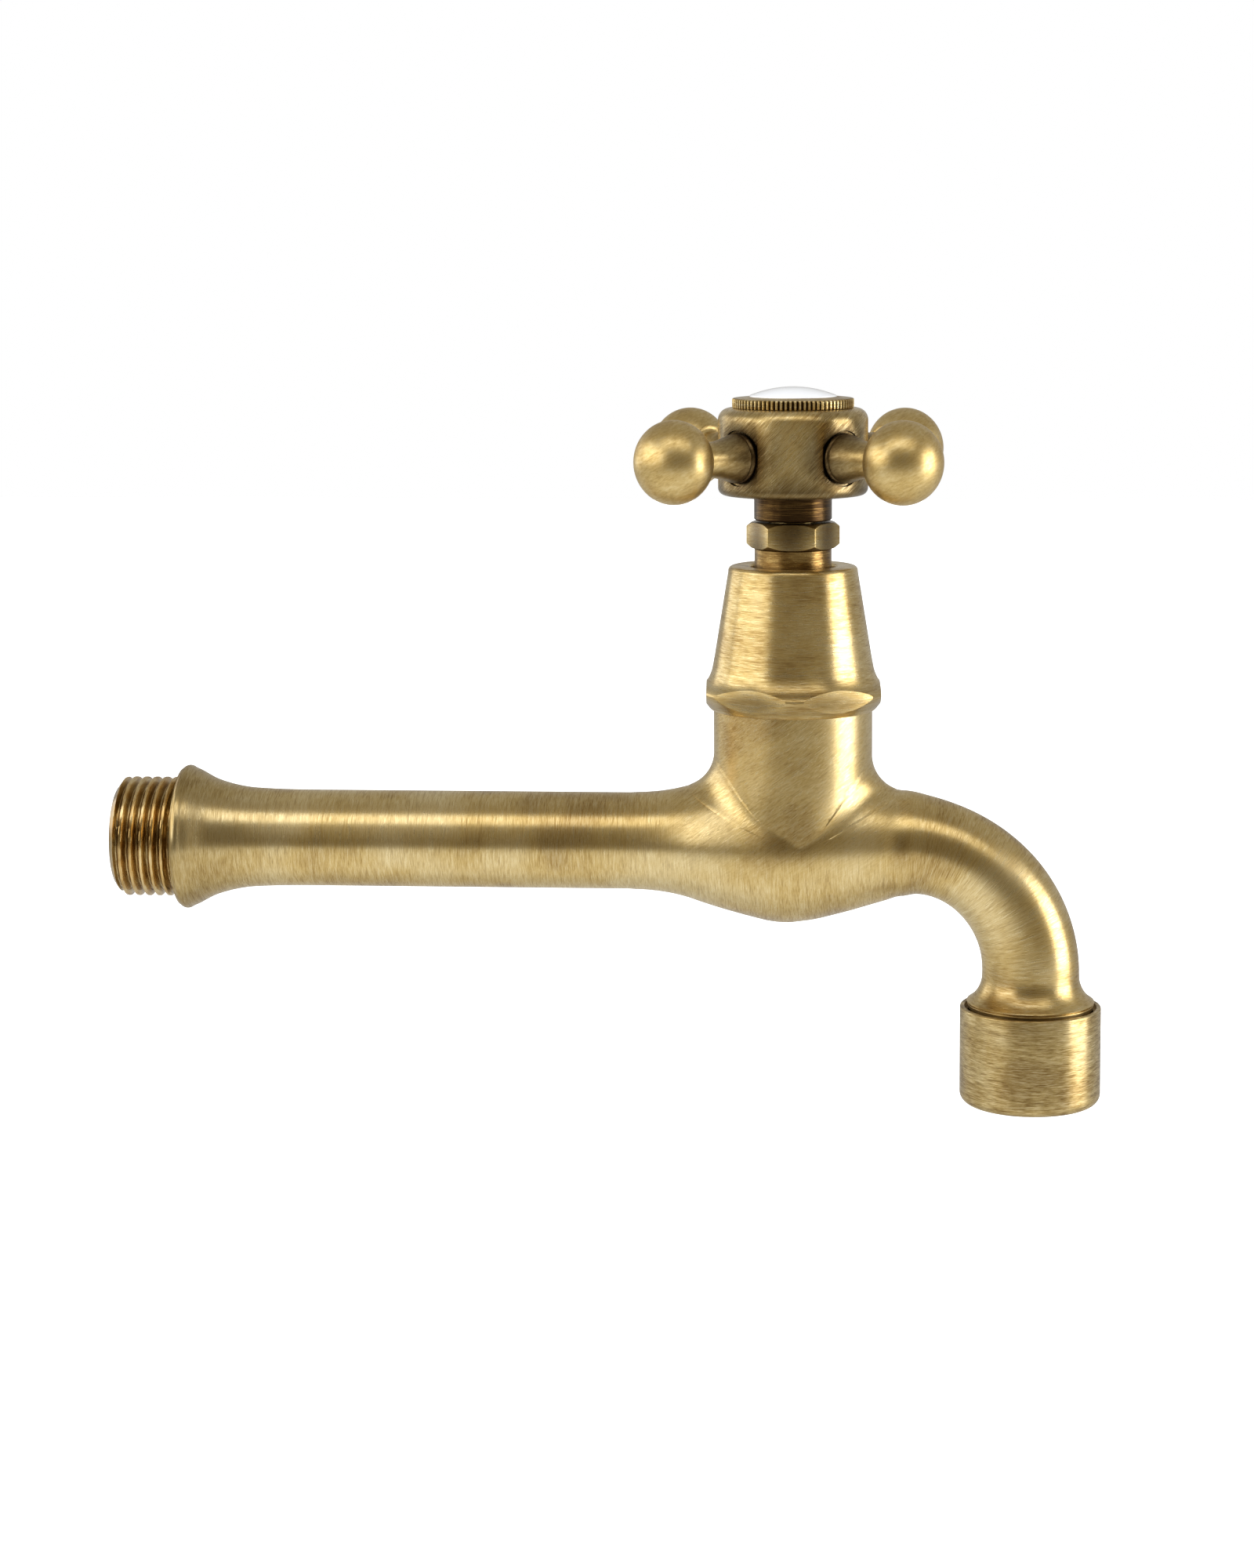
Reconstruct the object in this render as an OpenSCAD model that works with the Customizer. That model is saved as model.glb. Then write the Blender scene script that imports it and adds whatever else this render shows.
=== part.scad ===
// Wall-mounted hose bib: a long-neck bib tap in antique brushed brass with a four-arm handle.
// Millimetres. The origin is on the inlet's axis in the plane of the wall, which the flange's flat
// back meets. +X runs out from the wall along the tap, +Z is up, and the valve stands along +Z.

/* [Run and spout] */
// Distance from the wall to the valve's axis
valve_x = 107.5; // [90:0.5:150]
// Distance from the valve's axis to the outlet's axis
outlet_x = 41.4; // [38:0.2:60]
// Outside diameter of the horizontal run
run_d = 16.9; // [16:0.1:20]
// Outside diameter of the curved spout
spout_d = 16.8; // [16:0.1:19]
// Radius of the spout's bend, on its centre line
bend_r = 22.5; // [18:0.1:24]
// Bore of the waterway
water_d = 12.4; // [9:0.1:13]
// Height of the outlet's bottom edge below the inlet's axis
outlet_drop = 45.6; // [44:0.2:60]

/* [Inlet] */
// Outside diameter of the inlet's pipe thread, G 1/2
inlet_d = 20.955; // [20.955, 26.441]
// Thread depth, crest to root
thread_h = 1.162; // [0.8:0.01:1.3]
// Thread pitch
thread_pitch = 1.814; // [1.337:0.001:2.0]
// Length of the threaded inlet behind the wall
inlet_len = 11.3; // [9:0.1:20]
// Diameter of the wall flange
flange_d = 25.2; // [24:0.1:32]
// Length over which the flange flares down to the run
flare_len = 22; // [15:0.5:30]

/* [Valve body] */
// Outside diameter of the valve's neck
neck_d = 27.46; // [26:0.1:32]
// How far the rounded belly stands out beyond the neck, all round
belly_bulge = 0.27; // [0.1:0.01:2]
// Height of the neck's top
neck_top = 29; // [27:0.2:36]
// Radius of the fillet between the neck and the run
neck_fillet = 6.5; // [3:0.5:8]
// Wall of the neck, round the bore that takes the bonnet's thread
neck_wall = 3.23; // [2.5:0.01:4]
// Height of the seat's face
seat_z = 6.3; // [5:0.1:8]
// Bore of the seat
seat_bore = 11; // [9:0.1:12]

/* [Bell cover] */
// Height of the cover's bottom edge
bell_z = 23.1; // [21:0.1:24]
// Height of the cover's flat top
bell_top = 48.4; // [46:0.1:60]
// How far the six wrench flats stand out beyond the neck
bell_flat = 1.27; // [1:0.01:2.5]
// How far the hexagon's turned corners stand out beyond the neck
bell_corner = 2.77; // [1.5:0.01:3.4]
// Diameter at the top of the taper
bell_top_d = 22.4; // [19:0.1:24]
// How far the foot of the taper, above the flats, stands out beyond the neck
bell_waist = 0.17; // [0:0.01:1]
// Wall of the cover
bell_wall = 1.5; // [1:0.1:2]
// Turn of the flats about the valve's axis, degrees
bell_turn = 3.3; // [0:0.1:30]

/* [Bonnet] */
// Outside diameter of the bonnet's top tube
bonnet_d = 13.3; // [12:0.1:14.5]
// Height of the bonnet's top
bonnet_top = 51.5; // [50:0.1:64]
// Wrench flats on the hidden bonnet
bonnet_af = 18; // [16:0.5:18]
// Diameter of the spindle's thread
spindle_thread_d = 9.86; // [8:0.02:9.9]
// Diameter of the spindle's plain shank
spindle_d = 8; // [6.5:0.1:8.4]
// Wrench flats of the gland nut
nut_af = 14; // [13:0.5:15]
// Height of the gland nut's hexagon
nut_h = 4.54; // [4:0.1:6]

/* [Valve disc] */
// How far the valve lifts off its seat
lift = 4.5; // [3:0.1:4.8]
// Diameter of the rubber seat washer
washer_d = 16; // [14:0.1:17]
// Thickness of the seat washer
washer_h = 3; // [2:0.1:4]

/* [Handle] */
// Height of the hub's underside when the valve is shut
hub_z = 60.7; // [59:0.1:75]
// Height of the hub
hub_h = 14.9; // [14:0.1:18]
// Diameter of the hub
hub_d = 25.8; // [24:0.2:30]
// Height of the arms' axis above the hub's underside
arm_up = 6.8; // [6:0.1:7.5]
// Distance from the hub's axis to the middle of each knob
knob_r = 27; // [25:0.2:34]
// Diameter of a knob, across its arm
knob_d = 14.2; // [12:0.2:17]
// Length of a knob, along its arm
knob_len = 12.9; // [11:0.1:15]
// Diameter of an arm at its thinnest, beside the knob
arm_d = 6.2; // [5:0.1:7]
// Diameter of an arm's foot, where it meets the hub
arm_foot_d = 8.6; // [7.5:0.1:9]
// Diameter of the flat spot face under each arm's foot
spot_d = 9.5; // [9:0.1:11]
// Diameter of the turned sleeve between the gland nut and the hub
sleeve_d = 13.44; // [12:0.02:15]
// Diameter of the coin-edged ring on the hub
ring_d = 20.94; // [19:0.02:24]
// Height of the ring's fluted edge
ring_h = 1.46; // [1.2:0.02:2]
// Number of flutes in the ring's edge
flutes = 80; // [60:2:100]
// Diameter of the porcelain disc
disc_d = 15; // [14:0.1:15.4]
// Height of the porcelain disc's dome
dome_h = 1.49; // [1:0.01:2.5]

/* [Outlet] */
// Outside diameter of the aerator's housing
housing_d = 24.5; // [24.5:0.1:28]
// Length of the aerator's housing
housing_h = 17.1; // [16:0.1:20]
// Outside diameter of the spout's threaded end, M22
outlet_d = 21.8; // [20:0.05:21.8]
// Height of the visible collar above the housing
collar_h = 0.85; // [0.5:0.05:2]
// Height of the flare between the spout and its collar
flare_h = 3.25; // [2.5:0.05:5]

/* [Fits] */
// Radial gap of a screwed joint between two fixed pieces
screw_gap = 0.1; // [0.05:0.01:0.2]
// Radial gap of the spindle in its thread and packing
run_gap = 0.06; // [0.03:0.01:0.1]
// Radial gap round a piece that passes freely
free_gap = 0.15; // [0.1:0.01:0.5]
// End gap between pieces that stop just short of each other
end_gap = 0.05; // [0.02:0.01:0.1]

/* [Hidden] */
$fn = 96;
eps = 0.01;
// A short length that a cut or a joined piece runs past its neighbour
past = 1;

// Run, belly and spout
run_r = run_d / 2;
spout_r = spout_d / 2;
water_r = water_d / 2;
neck_r = neck_d / 2;
belly_r = neck_r + belly_bulge;
belly_from = -27;                                   // where the belly starts to swell, from the valve
recess = 0.4;                                       // relief in the flange's back, round the thread's end
bend_x = outlet_x - bend_r;                         // the bend's centre, from the valve
join_turn = 2;                                      // how far the bend reaches back into the run, degrees
join_step = 0.05;
join_run = 0.5;
outlet_at = valve_x + outlet_x;

// Outlet
housing_r = housing_d / 2;
housing_wall = 0.8;
housing_z = -outlet_drop;
housing_top = housing_z + housing_h;
collar_z = housing_top + collar_h;
outlet_r = outlet_d / 2;
outlet_end = housing_z + 9.55;                      // lower end of the spout's thread
lip_h = 1.2;
cart_r = outlet_r - 0.2;
lip_r = cart_r - 0.9;
gasket_h = 2.1;
cart_wall = 1.3;
cart_z = housing_z + lip_h;
cart_top = outlet_end - gasket_h - 2 * end_gap;
screen_h = 0.5;
plate_h = 1.2;

// Valve interior
neck_bore_r = neck_r - neck_wall;
plate_z = seat_z - 0.8;                             // upper face of the seat's partition
seat_r = seat_bore / 2;
seat_land = 1.3;
under_seat = plate_z - 3.5;
port_r = 3.6;
shell_wall = 2.2;
under_floor = -belly_r + 2 * shell_wall + 0.4;

// Neck thread and bell cover
neck_thread_r = neck_r - 0.7;
neck_thread_z = bell_z + 0.9;
bell_bore_r = neck_thread_r + screw_gap;
bell_lip_r = neck_r + 0.27;
bell_corner_r = neck_r + bell_corner;
bell_af = neck_d + 2 * bell_flat;
bell_waist_r = neck_r + bell_waist;
bell_waist_z = bell_z + 7.4;
bell_top_r = bell_top_d / 2;
bell_edge = 0.8;
bell_hex_from = bell_z + 1.45;
bell_hex_to = bell_z + 4.1;

// Bonnet and gland
bonnet_r = bonnet_d / 2;
bonnet_thread_r = neck_bore_r - screw_gap;
bonnet_root_r = bonnet_thread_r - 0.6;
bonnet_gasket_h = 1.2;
bonnet_seat = neck_top + bonnet_gasket_h;
bonnet_flange_h = 2;
bell_bore_z = bell_top - bell_wall;                 // upper end of the bell's tapered bore
bell_bore_slope = (bell_waist_r - bell_top_r) / (bell_bore_z - bonnet_seat);
flange_r = bell_waist_r - bell_wall - bell_bore_slope * bonnet_flange_h - screw_gap;
bonnet_hex_h = 5.8;
bonnet_foot = neck_top - 15;
spindle_r = spindle_d / 2;
spindle_thread_r = spindle_thread_d / 2;
packing_r = bonnet_r - 1.15;
packing_z = bonnet_top - 9;
packing_h = 3.4;
follower_h = 1.2;
shoulder_h = 1.5;
nut_top = bonnet_top + nut_h;
nut_skirt = bonnet_top - (packing_z + packing_h + follower_h) - end_gap;

// Valve disc, all at the shut position
washer_z = seat_z + end_gap;
washer_r = washer_d / 2;
holder_h = 2;
holder_r = washer_r + 0.6;
holder_z = washer_z + washer_h;
stem_r = 3.2;
stem_top = holder_z + 8;
skirt_bore_r = holder_r + 0.6;
spindle_foot = holder_z + holder_h;
spindle_thread_top = packing_z - shoulder_h - lift - 0.5;

// Handle, all at the shut position
hub_top = hub_z + hub_h;
hub_r = hub_d / 2;
arm_z = hub_z + arm_up;
spot_s = hub_r - 0.75;
sleeve_r = sleeve_d / 2;
sleeve_z = nut_top + 0.3;
sleeve_seat = 2;
square_af = 0.7 * spindle_d;
socket_af = square_af + 0.2;
web_z = hub_z + 8.8;
recess_z = hub_top - 4;
recess_r = 9;
arm_hole_r = 2.5;
arm_stub_r = arm_hole_r - screw_gap;
arm_hole_s = 7;
arm_r = arm_d / 2;
arm_foot_r = arm_foot_d / 2;
knob_half = knob_len / 2;
knob_back_r = 4.2;
knob_cross_r = knob_d / 2;
screw_r = 2;
screw_head_r = 3.6;
screw_head_h = 2.4;
ring_r = ring_d / 2;
disc_r = disc_d / 2;
flute_depth = 0.22;
ring_slope_h = 0.55;
disc_z = hub_top + 0.65;
disc_edge = hub_top + 2.15;
dome_r = (disc_r * disc_r + dome_h * dome_h) / (2 * dome_h);

// Smooth rise from 0 to 1
function ease(t) = let (u = min(1, max(0, t))) u * u * (3 - 2 * u);
// Radius of the run and belly at x from the valve, on the wall side and on the outlet side
function swell_wall(x) = run_r + (belly_r - run_r) * ease((x - belly_from) / (-1 - belly_from));
function swell_out(x) = let (r = spout_r + join_step) r + (belly_r - r) * ease((bend_x - x) / (bend_x + 1));
function swell(x) = x < -1 ? swell_wall(x) : swell_out(x);
// Points of an arc with centre c, from angle a to angle b
function arc(c, r, a, b, n = 8) = [for (i = [0 : n]) let (t = a + (b - a) * i / n) c + r * [cos(t), sin(t)]];
function unit(v) = v / norm(v);

// Ring grooves on a shaft, as [radius, height] points going up from z
function thread_points(z, len, crest, root, pitch) = let (
    n = floor(len / pitch),
    start = z + (len - n * pitch) / 2
) [for (i = [0 : n - 1]) for (p = [
    [root, start + (i + 0.06) * pitch], [crest, start + (i + 0.42) * pitch],
    [crest, start + (i + 0.58) * pitch], [root, start + (i + 0.94) * pitch]
]) p];

// A revolved shape whose axis is X instead of Z: radius stays radius, height becomes x
module along_x() rotate([0, 90, 0]) rotate_extrude() children();

module hexagon(af) rotate(30) circle(d = af / cos(30), $fn = 6);

module tube(r_out, r_in, z, h) translate([0, 0, z]) difference() {
    cylinder(r = r_out, h = h);
    translate([0, 0, -past]) cylinder(r = r_in, h = h + 2 * past);
}

// The threaded inlet, the wall flange, its flare into the run, and the belly under the valve. The run
// ends a hair wider than the bend that starts in it.
module run_shape() along_x() polygon(concat(
    [[0, -inlet_len], [inlet_d / 2 - 1.6, -inlet_len], [inlet_d / 2 - thread_h, -inlet_len + 0.3]],
    thread_points(-inlet_len + 0.2, inlet_len - 0.3, inlet_d / 2, inlet_d / 2 - thread_h, thread_pitch),
    [[inlet_d / 2 - thread_h, recess], [inlet_d / 2 + 0.15, recess], [inlet_d / 2 + 0.15, 0],
     [flange_d / 2 - 0.45, 0]],
    arc([flange_d / 2 - 1, 1], 1, -30, 55, 6),
    [for (i = [1 : 12]) let (t = i / 12)
        [run_r + (flange_d / 2 - 0.5 - run_r) * pow(1 - t, 2.6), 2.2 + (flare_len - 2.2) * t]],
    [for (i = [0 : 14]) let (x = belly_from + (-1 - belly_from) * i / 14) [swell(x), valve_x + x]],
    [for (i = [1 : 12]) let (x = -1 + (bend_x + 1) * i / 12) [swell(x), valve_x + x]],
    [[0, valve_x + bend_x]]
));

// The fillet round the foot of the neck: a ring of arcs, each between the neck and the belly
function fillet_arc(a) = let (
    x = neck_r * cos(a), y = neck_r * sin(a),
    r = swell(x),
    h = sqrt(max(0.3, r * r - y * y)),
    slope = (swell(x + 0.1) - swell(x - 0.1)) / 0.2,
    n1 = [cos(a), sin(a), 0],
    n2 = unit([-slope, y / r, h / r]),
    k = n1 * n2,
    foot = [x, y, h],
    ball = foot + neck_fillet * (n1 + n2) / (1 + k),
    turn = acos(k),
    sunk = 0.25 * (n1 + n2)
) concat(
    [foot - 2.5 * (n1 + n2), ball - neck_fillet * n1 - 1.2 * n1],
    [for (i = [0 : 6]) let (t = i / 6,
        d = (sin((1 - t) * turn) * n1 + sin(t * turn) * n2) / sin(turn))
        ball - neck_fillet * d - (i == 0 || i == 6 ? sunk : [0, 0, 0])],
    [ball - neck_fillet * n2 - 1.2 * n2]
);

module neck_foot() {
    steps = 48;
    rows = [for (j = [0 : steps - 1]) fillet_arc(360 * j / steps)];
    n = len(rows[0]);
    translate([valve_x, 0, 0]) polyhedron(
        points = [for (row = rows) for (p = row) p],
        faces = [for (j = [0 : steps - 1]) for (i = [0 : n - 1]) let (
            a = j * n + i, b = j * n + (i + 1) % n,
            c = ((j + 1) % steps) * n + (i + 1) % n, d = ((j + 1) % steps) * n + i
        ) each [[a, c, b], [a, d, c]]]
    );
}

module neck_shape() translate([valve_x, 0, 0]) rotate_extrude() polygon([
    [0, 0.4], [neck_r + 0.02, 0.4], [neck_r + 0.02, neck_thread_z - 0.4],
    [neck_thread_r, neck_thread_z], [neck_thread_r, neck_top - 0.4], [neck_thread_r - 0.4, neck_top],
    [0, neck_top]
]);

// A round bar round the bend, down to the height z; it reaches back into the run by the angle back
module bend(r, z, back) {
    translate([valve_x + bend_x, 0, -bend_r]) rotate([90, 0, 0])
        rotate_extrude(angle = 90 + back) translate([bend_r, 0]) circle(r = r);
    translate([outlet_at, 0, z]) cylinder(r = r, h = -bend_r - z + eps);
}

// The flare, the collar and the hidden male thread at the spout's end
module outlet_shape() translate([outlet_at, 0, 0]) rotate_extrude() polygon(concat(
    [[0, outlet_end], [outlet_r - 0.8, outlet_end]],
    thread_points(outlet_end + 0.4, housing_top - outlet_end - 1.4, outlet_r, outlet_r - 0.55, 1),
    [[outlet_r - 0.55, housing_top - 0.8], [outlet_r, housing_top - 0.6], [outlet_r, collar_z - 0.25],
     [outlet_r - 0.15, collar_z - 0.15], [outlet_r - 0.15, collar_z - 0.05]],
    arc([outlet_r - 0.1, collar_z + 0.2], 0.26, -60, 60, 4),
    [for (i = [1 : 8]) let (t = i / 8)
        [spout_r + (outlet_r - spout_r - 0.1) * pow(1 - t, 2.4), collar_z + 0.4 + (flare_h - 0.4) * t]],
    [[0, collar_z + flare_h]]
));

// Everything cut out of the casting: the waterway, the chambers and the seat's partition
module waterway() {
    in_end = -neck_bore_r - shell_wall;
    translate([-inlet_len - past, 0, 0]) rotate([0, 90, 0])
        cylinder(r = water_r, h = inlet_len + past + valve_x + in_end);
    // Sloping passage from the inlet down under the seat
    translate([valve_x + in_end - 1.5, 0, -0.6]) rotate([0, 90 + 18, 0]) cylinder(r = water_r - 1, h = 13);
    translate([valve_x, 0, under_floor]) cylinder(r = seat_r + 0.5, h = under_seat - under_floor);
    translate([valve_x, 0, under_floor + past]) cylinder(r = seat_r, h = seat_z + past - under_floor);
    // Upper chamber, with the raised seat left standing in it
    translate([valve_x, 0, 0]) rotate_extrude() polygon([
        [0, seat_z], [seat_r + seat_land, seat_z], [seat_r + seat_land, plate_z], [neck_bore_r, plate_z],
        [neck_bore_r, neck_top + past], [0, neck_top + past]
    ]);
    // Outlet port, run and bend
    translate([valve_x + neck_bore_r - 0.65, 0, plate_z + 2.5]) rotate([0, 180 - 42, 0])
        cylinder(r = port_r, h = 11.5);
    translate([valve_x + bend_x - 7, 0, 0]) rotate([0, 90, 0])
        cylinder(r = water_r - join_step, h = 7 + join_run);
    bend(water_r, outlet_end - past, join_turn / 2);
    translate([outlet_at, 0, outlet_end - eps]) cylinder(r1 = outlet_r - 2.2, r2 = water_r - eps, h = 4);
}

module tap_body() color("#a8834f") difference() {
    union() {
        run_shape();
        neck_foot();
        neck_shape();
        bend(spout_r, collar_z + past, join_turn);
        outlet_shape();
    }
    waterway();
}

module at_valve(z = 0) translate([valve_x, 0, z]) children();

module bonnet_gasket() color("#7c7a74") at_valve()
    tube(flange_r - 0.1, neck_bore_r, neck_top, bonnet_gasket_h);

module bonnet() color("#b08a4c") at_valve() difference() {
    union() {
        rotate_extrude() polygon(concat(
            [[0, bonnet_foot], [bonnet_thread_r - 0.8, bonnet_foot]],
            thread_points(bonnet_foot + 0.4, neck_top - bonnet_foot - 1.5, bonnet_thread_r, bonnet_root_r, 1),
            [[bonnet_root_r, bonnet_seat - 0.6], [bonnet_root_r, bonnet_seat],
             [flange_r, bonnet_seat], [flange_r, bonnet_seat + bonnet_flange_h],
             [bonnet_r, bonnet_seat + bonnet_flange_h], [bonnet_r, bonnet_top - 0.2],
             [bonnet_r - 0.2, bonnet_top], [0, bonnet_top]]
        ));
        translate([0, 0, bonnet_seat + bonnet_flange_h - eps])
            linear_extrude(bonnet_hex_h) hexagon(bonnet_af);
    }
    translate([0, 0, bonnet_foot - past])
        cylinder(r = skirt_bore_r, h = holder_z + holder_h + lift + past + 1 - bonnet_foot + past);
    cylinder(r = spindle_thread_r + run_gap + 0.01, h = packing_z - shoulder_h);
    cylinder(r = spindle_r + free_gap, h = bonnet_top);
    translate([0, 0, packing_z]) cylinder(r = packing_r, h = bonnet_top);
}

module packing_rings() color("#2c2b29") at_valve()
    for (i = [0 : 1]) tube(packing_r - screw_gap, spindle_r + run_gap,
        packing_z + i * packing_h / 2, packing_h / 2 - (i == 0 ? end_gap : 0));

module gland_follower() color("#b9924f") at_valve()
    tube(packing_r - screw_gap, spindle_r + free_gap, packing_z + packing_h, follower_h);

// The gland nut: a hexagon with both faces chamfered, and a skirt screwed into the bonnet
module gland_nut() color("#8d6c43") at_valve() difference() {
    union() {
        intersection() {
            translate([0, 0, bonnet_top]) linear_extrude(nut_h) rotate(30) hexagon(nut_af);
            rotate(15) rotate_extrude() polygon([
                [0, bonnet_top], [nut_af / 2 - 0.25, bonnet_top], [nut_af / 2 + 1.2, bonnet_top + 0.85],
                [nut_af / 2 + 1.2, nut_top - 0.85], [nut_af / 2 - 0.25, nut_top], [0, nut_top]
            ]);
        }
        translate([0, 0, bonnet_top - nut_skirt]) rotate_extrude() polygon(concat(
            [[0, 0], [packing_r - 0.6, 0]],
            thread_points(0.1, nut_skirt - 0.4, packing_r - screw_gap, packing_r - 0.6, 0.8),
            [[packing_r - 0.6, nut_skirt - 0.2], [packing_r - 0.6, nut_skirt + eps], [0, nut_skirt + eps]]
        ));
    }
    translate([0, 0, packing_z]) cylinder(r = spindle_r + free_gap, h = nut_top);
}

// The bell cover: a taper that flares to a turned hexagon, bored out and screwed on the neck
module bell_cover() color("#a27d4a") at_valve() difference() {
    intersection() {
        rotate_extrude() polygon(concat(
            [[0, bell_z], [bell_lip_r, bell_z], [bell_corner_r, bell_hex_from], [bell_corner_r, bell_hex_to]],
            [for (i = [1 : 8]) let (t = i / 8) [
                bell_waist_r + (bell_corner_r - bell_waist_r) * pow(1 - t, 2.2),
                bell_hex_to + (bell_waist_z - bell_hex_to) * t
            ]],
            arc([bell_top_r - bell_edge, bell_top - bell_edge], bell_edge, 9, 90, 6),
            [[0, bell_top]]
        ));
        rotate(bell_turn) linear_extrude(bell_top) hexagon(bell_af);
    }
    translate([0, 0, bell_z - past])
        cylinder(r = neck_r + free_gap, h = neck_thread_z - bell_z + past + 0.4);
    cylinder(r = bell_bore_r, h = bonnet_seat);
    translate([0, 0, bonnet_seat - eps]) cylinder(
        r1 = bell_waist_r - bell_wall, r2 = bell_top_r - bell_wall, h = bell_bore_z - bonnet_seat);
    cylinder(r = bonnet_r + 0.8, h = bell_top + past);
}

module seat_washer() color("#242322") at_valve() tube(washer_r, 2.1, washer_z, washer_h);

module jumper() color("#b08a4c") at_valve() {
    translate([0, 0, holder_z]) cylinder(r = holder_r, h = holder_h);
    translate([0, 0, holder_z]) cylinder(r = stem_r, h = stem_top - holder_z);
    translate([0, 0, washer_z - 1.9]) cylinder(r = 1.9, h = holder_z - washer_z + 2);
}

module washer_nut() color("#b9924f") at_valve() difference() {
    translate([0, 0, washer_z - 1.6]) linear_extrude(1.6) hexagon(7);
    translate([0, 0, washer_z - 3]) cylinder(r = 1.9 + end_gap, h = 6);
}

module spindle() color("#b9924f") at_valve() difference() {
    union() {
        rotate_extrude() polygon(concat(
            [[0, spindle_foot], [spindle_thread_r - 0.7, spindle_foot]],
            thread_points(spindle_foot + 4, spindle_thread_top - spindle_foot - 4.5,
                spindle_thread_r, spindle_thread_r - 0.7, 2),
            [[spindle_thread_r - 0.7, spindle_thread_top], [spindle_r, spindle_thread_top + eps],
             [spindle_r, hub_z + sleeve_seat - 0.2], [0, hub_z + sleeve_seat - 0.2]]
        ));
        translate([0, 0, hub_z + sleeve_seat - 0.3]) linear_extrude(web_z - hub_z - sleeve_seat)
            square(square_af, center = true);
    }
    translate([0, 0, spindle_foot - past])
        cylinder(r = stem_r + run_gap, h = stem_top - spindle_foot + past + 0.3);
    translate([0, 0, web_z - 10]) cylinder(r = screw_r + end_gap, h = 12);
}

module handle_sleeve() color("#4d3d2b") at_valve()
    tube(sleeve_r, spindle_r + free_gap, sleeve_z, hub_z + sleeve_seat - sleeve_z - end_gap);

// Children are drawn along +Z and laid along each arm: z is the distance from the valve's axis
module along_arm(i) at_valve(arm_z) rotate([0, 90, 45 + 90 * i]) children();

module handle_hub() color("#a5814d") difference() {
    at_valve() rotate_extrude() polygon(concat(
        [[0, hub_z]],
        arc([hub_r - 1.2, hub_z + 1.2], 1.2, -90, 0, 5),
        arc([hub_r - 2, hub_top - 2], 2, 0, 90, 7),
        [[0, hub_top]]
    ));
    at_valve() {
        translate([0, 0, hub_z - past]) cylinder(r = sleeve_r + screw_gap, h = sleeve_seat + past);
        translate([-socket_af / 2, -socket_af / 2, hub_z]) cube([socket_af, socket_af, web_z - hub_z]);
        cylinder(r = screw_r + free_gap, h = hub_top);
        translate([0, 0, recess_z]) cylinder(r = recess_r, h = hub_top);
    }
    for (i = [0 : 3]) along_arm(i) {
        translate([0, 0, arm_hole_s]) cylinder(r = arm_hole_r, h = hub_r);
        translate([0, 0, spot_s]) cylinder(r = spot_d / 2, h = hub_r);
    }
}

// One turned arm with its knob, screwed into the hub
module arm(i) color("#ae8b52") along_arm(i) {
    foot_s = spot_s + end_gap;
    knob_back_s = knob_r - knob_half * sqrt(1 - pow(knob_back_r / knob_cross_r, 2));
    rotate_extrude() polygon(concat(
        [[0, arm_hole_s + 0.5], [arm_stub_r - 0.3, arm_hole_s + 0.5], [arm_stub_r, arm_hole_s + 0.8],
         [arm_stub_r, foot_s], [arm_foot_r - 0.4, foot_s]],
        arc([arm_foot_r - 0.5, foot_s + 0.5], 0.5, -90, 60, 5),
        [for (j = [1 : 10]) let (t = j / 10) [
            arm_r + (arm_foot_r - 0.3 - arm_r) * pow(1 - t, 1.8),
            foot_s + 0.95 + (knob_back_s - 0.3 - foot_s - 0.95) * t
        ]],
        [[knob_back_r - 0.5, knob_back_s - 0.2]],
        [for (j = [0 : 22]) let (
            a0 = asin(knob_back_r / knob_cross_r), a = a0 + (180 - a0) * j / 22
        ) [knob_cross_r * sin(a), knob_r - knob_half * cos(a)]]
    ));
}

module handle_arm_1() arm(0);
module handle_arm_2() arm(1);
module handle_arm_3() arm(2);
module handle_arm_4() arm(3);

// The screw that clamps the hub on the spindle, with a cross slot
module handle_screw() color("#8f8b80") at_valve() difference() {
    union() {
        translate([0, 0, web_z - 8]) cylinder(r = screw_r, h = recess_z - web_z + 8 + eps);
        translate([0, 0, recess_z]) cylinder(r = screw_head_r, h = screw_head_h);
    }
    for (a = [0, 90]) rotate(a) translate([-2.2, -0.4, recess_z + 1.2]) cube([4.4, 0.8, 2]);
}

module index_ring() color("#a98752") at_valve() difference() {
    union() {
        intersection() {
            translate([0, 0, hub_top]) linear_extrude(3) polygon([for (i = [0 : flutes - 1]) for (k = [0, 1])
                let (a = 360 * (i + k / 2) / flutes) (ring_r - k * flute_depth) * [cos(a), sin(a)]]);
            rotate_extrude() polygon([
                [0, hub_top], [ring_r - 0.15, hub_top], [ring_r + 0.1, hub_top + 0.25],
                [ring_r + 0.1, hub_top + ring_h - 0.2], [ring_r - 0.25, hub_top + ring_h],
                [disc_r + 0.05, hub_top + ring_h + ring_slope_h], [0, hub_top + ring_h + ring_slope_h]
            ]);
        }
        translate([0, 0, recess_z + 1.2])
            cylinder(r = recess_r - screw_gap, h = hub_top - recess_z - 1.2 + eps);
    }
    translate([0, 0, recess_z]) cylinder(r = disc_r - 1, h = 10);
    translate([0, 0, disc_z]) cylinder(r = disc_r + end_gap, h = 10);
}

// The porcelain disc: a plain domed button
module index_disc() color("#f2f4f6") at_valve() union() {
    translate([0, 0, disc_z]) cylinder(r = disc_r, h = disc_edge - disc_z);
    intersection() {
        translate([0, 0, disc_edge - eps]) cylinder(r = disc_r, h = dome_h + past);
        translate([0, 0, disc_edge + dome_h - dome_r]) sphere(r = dome_r);
    }
}

module at_outlet(z = 0) translate([outlet_at, 0, z]) children();

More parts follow.
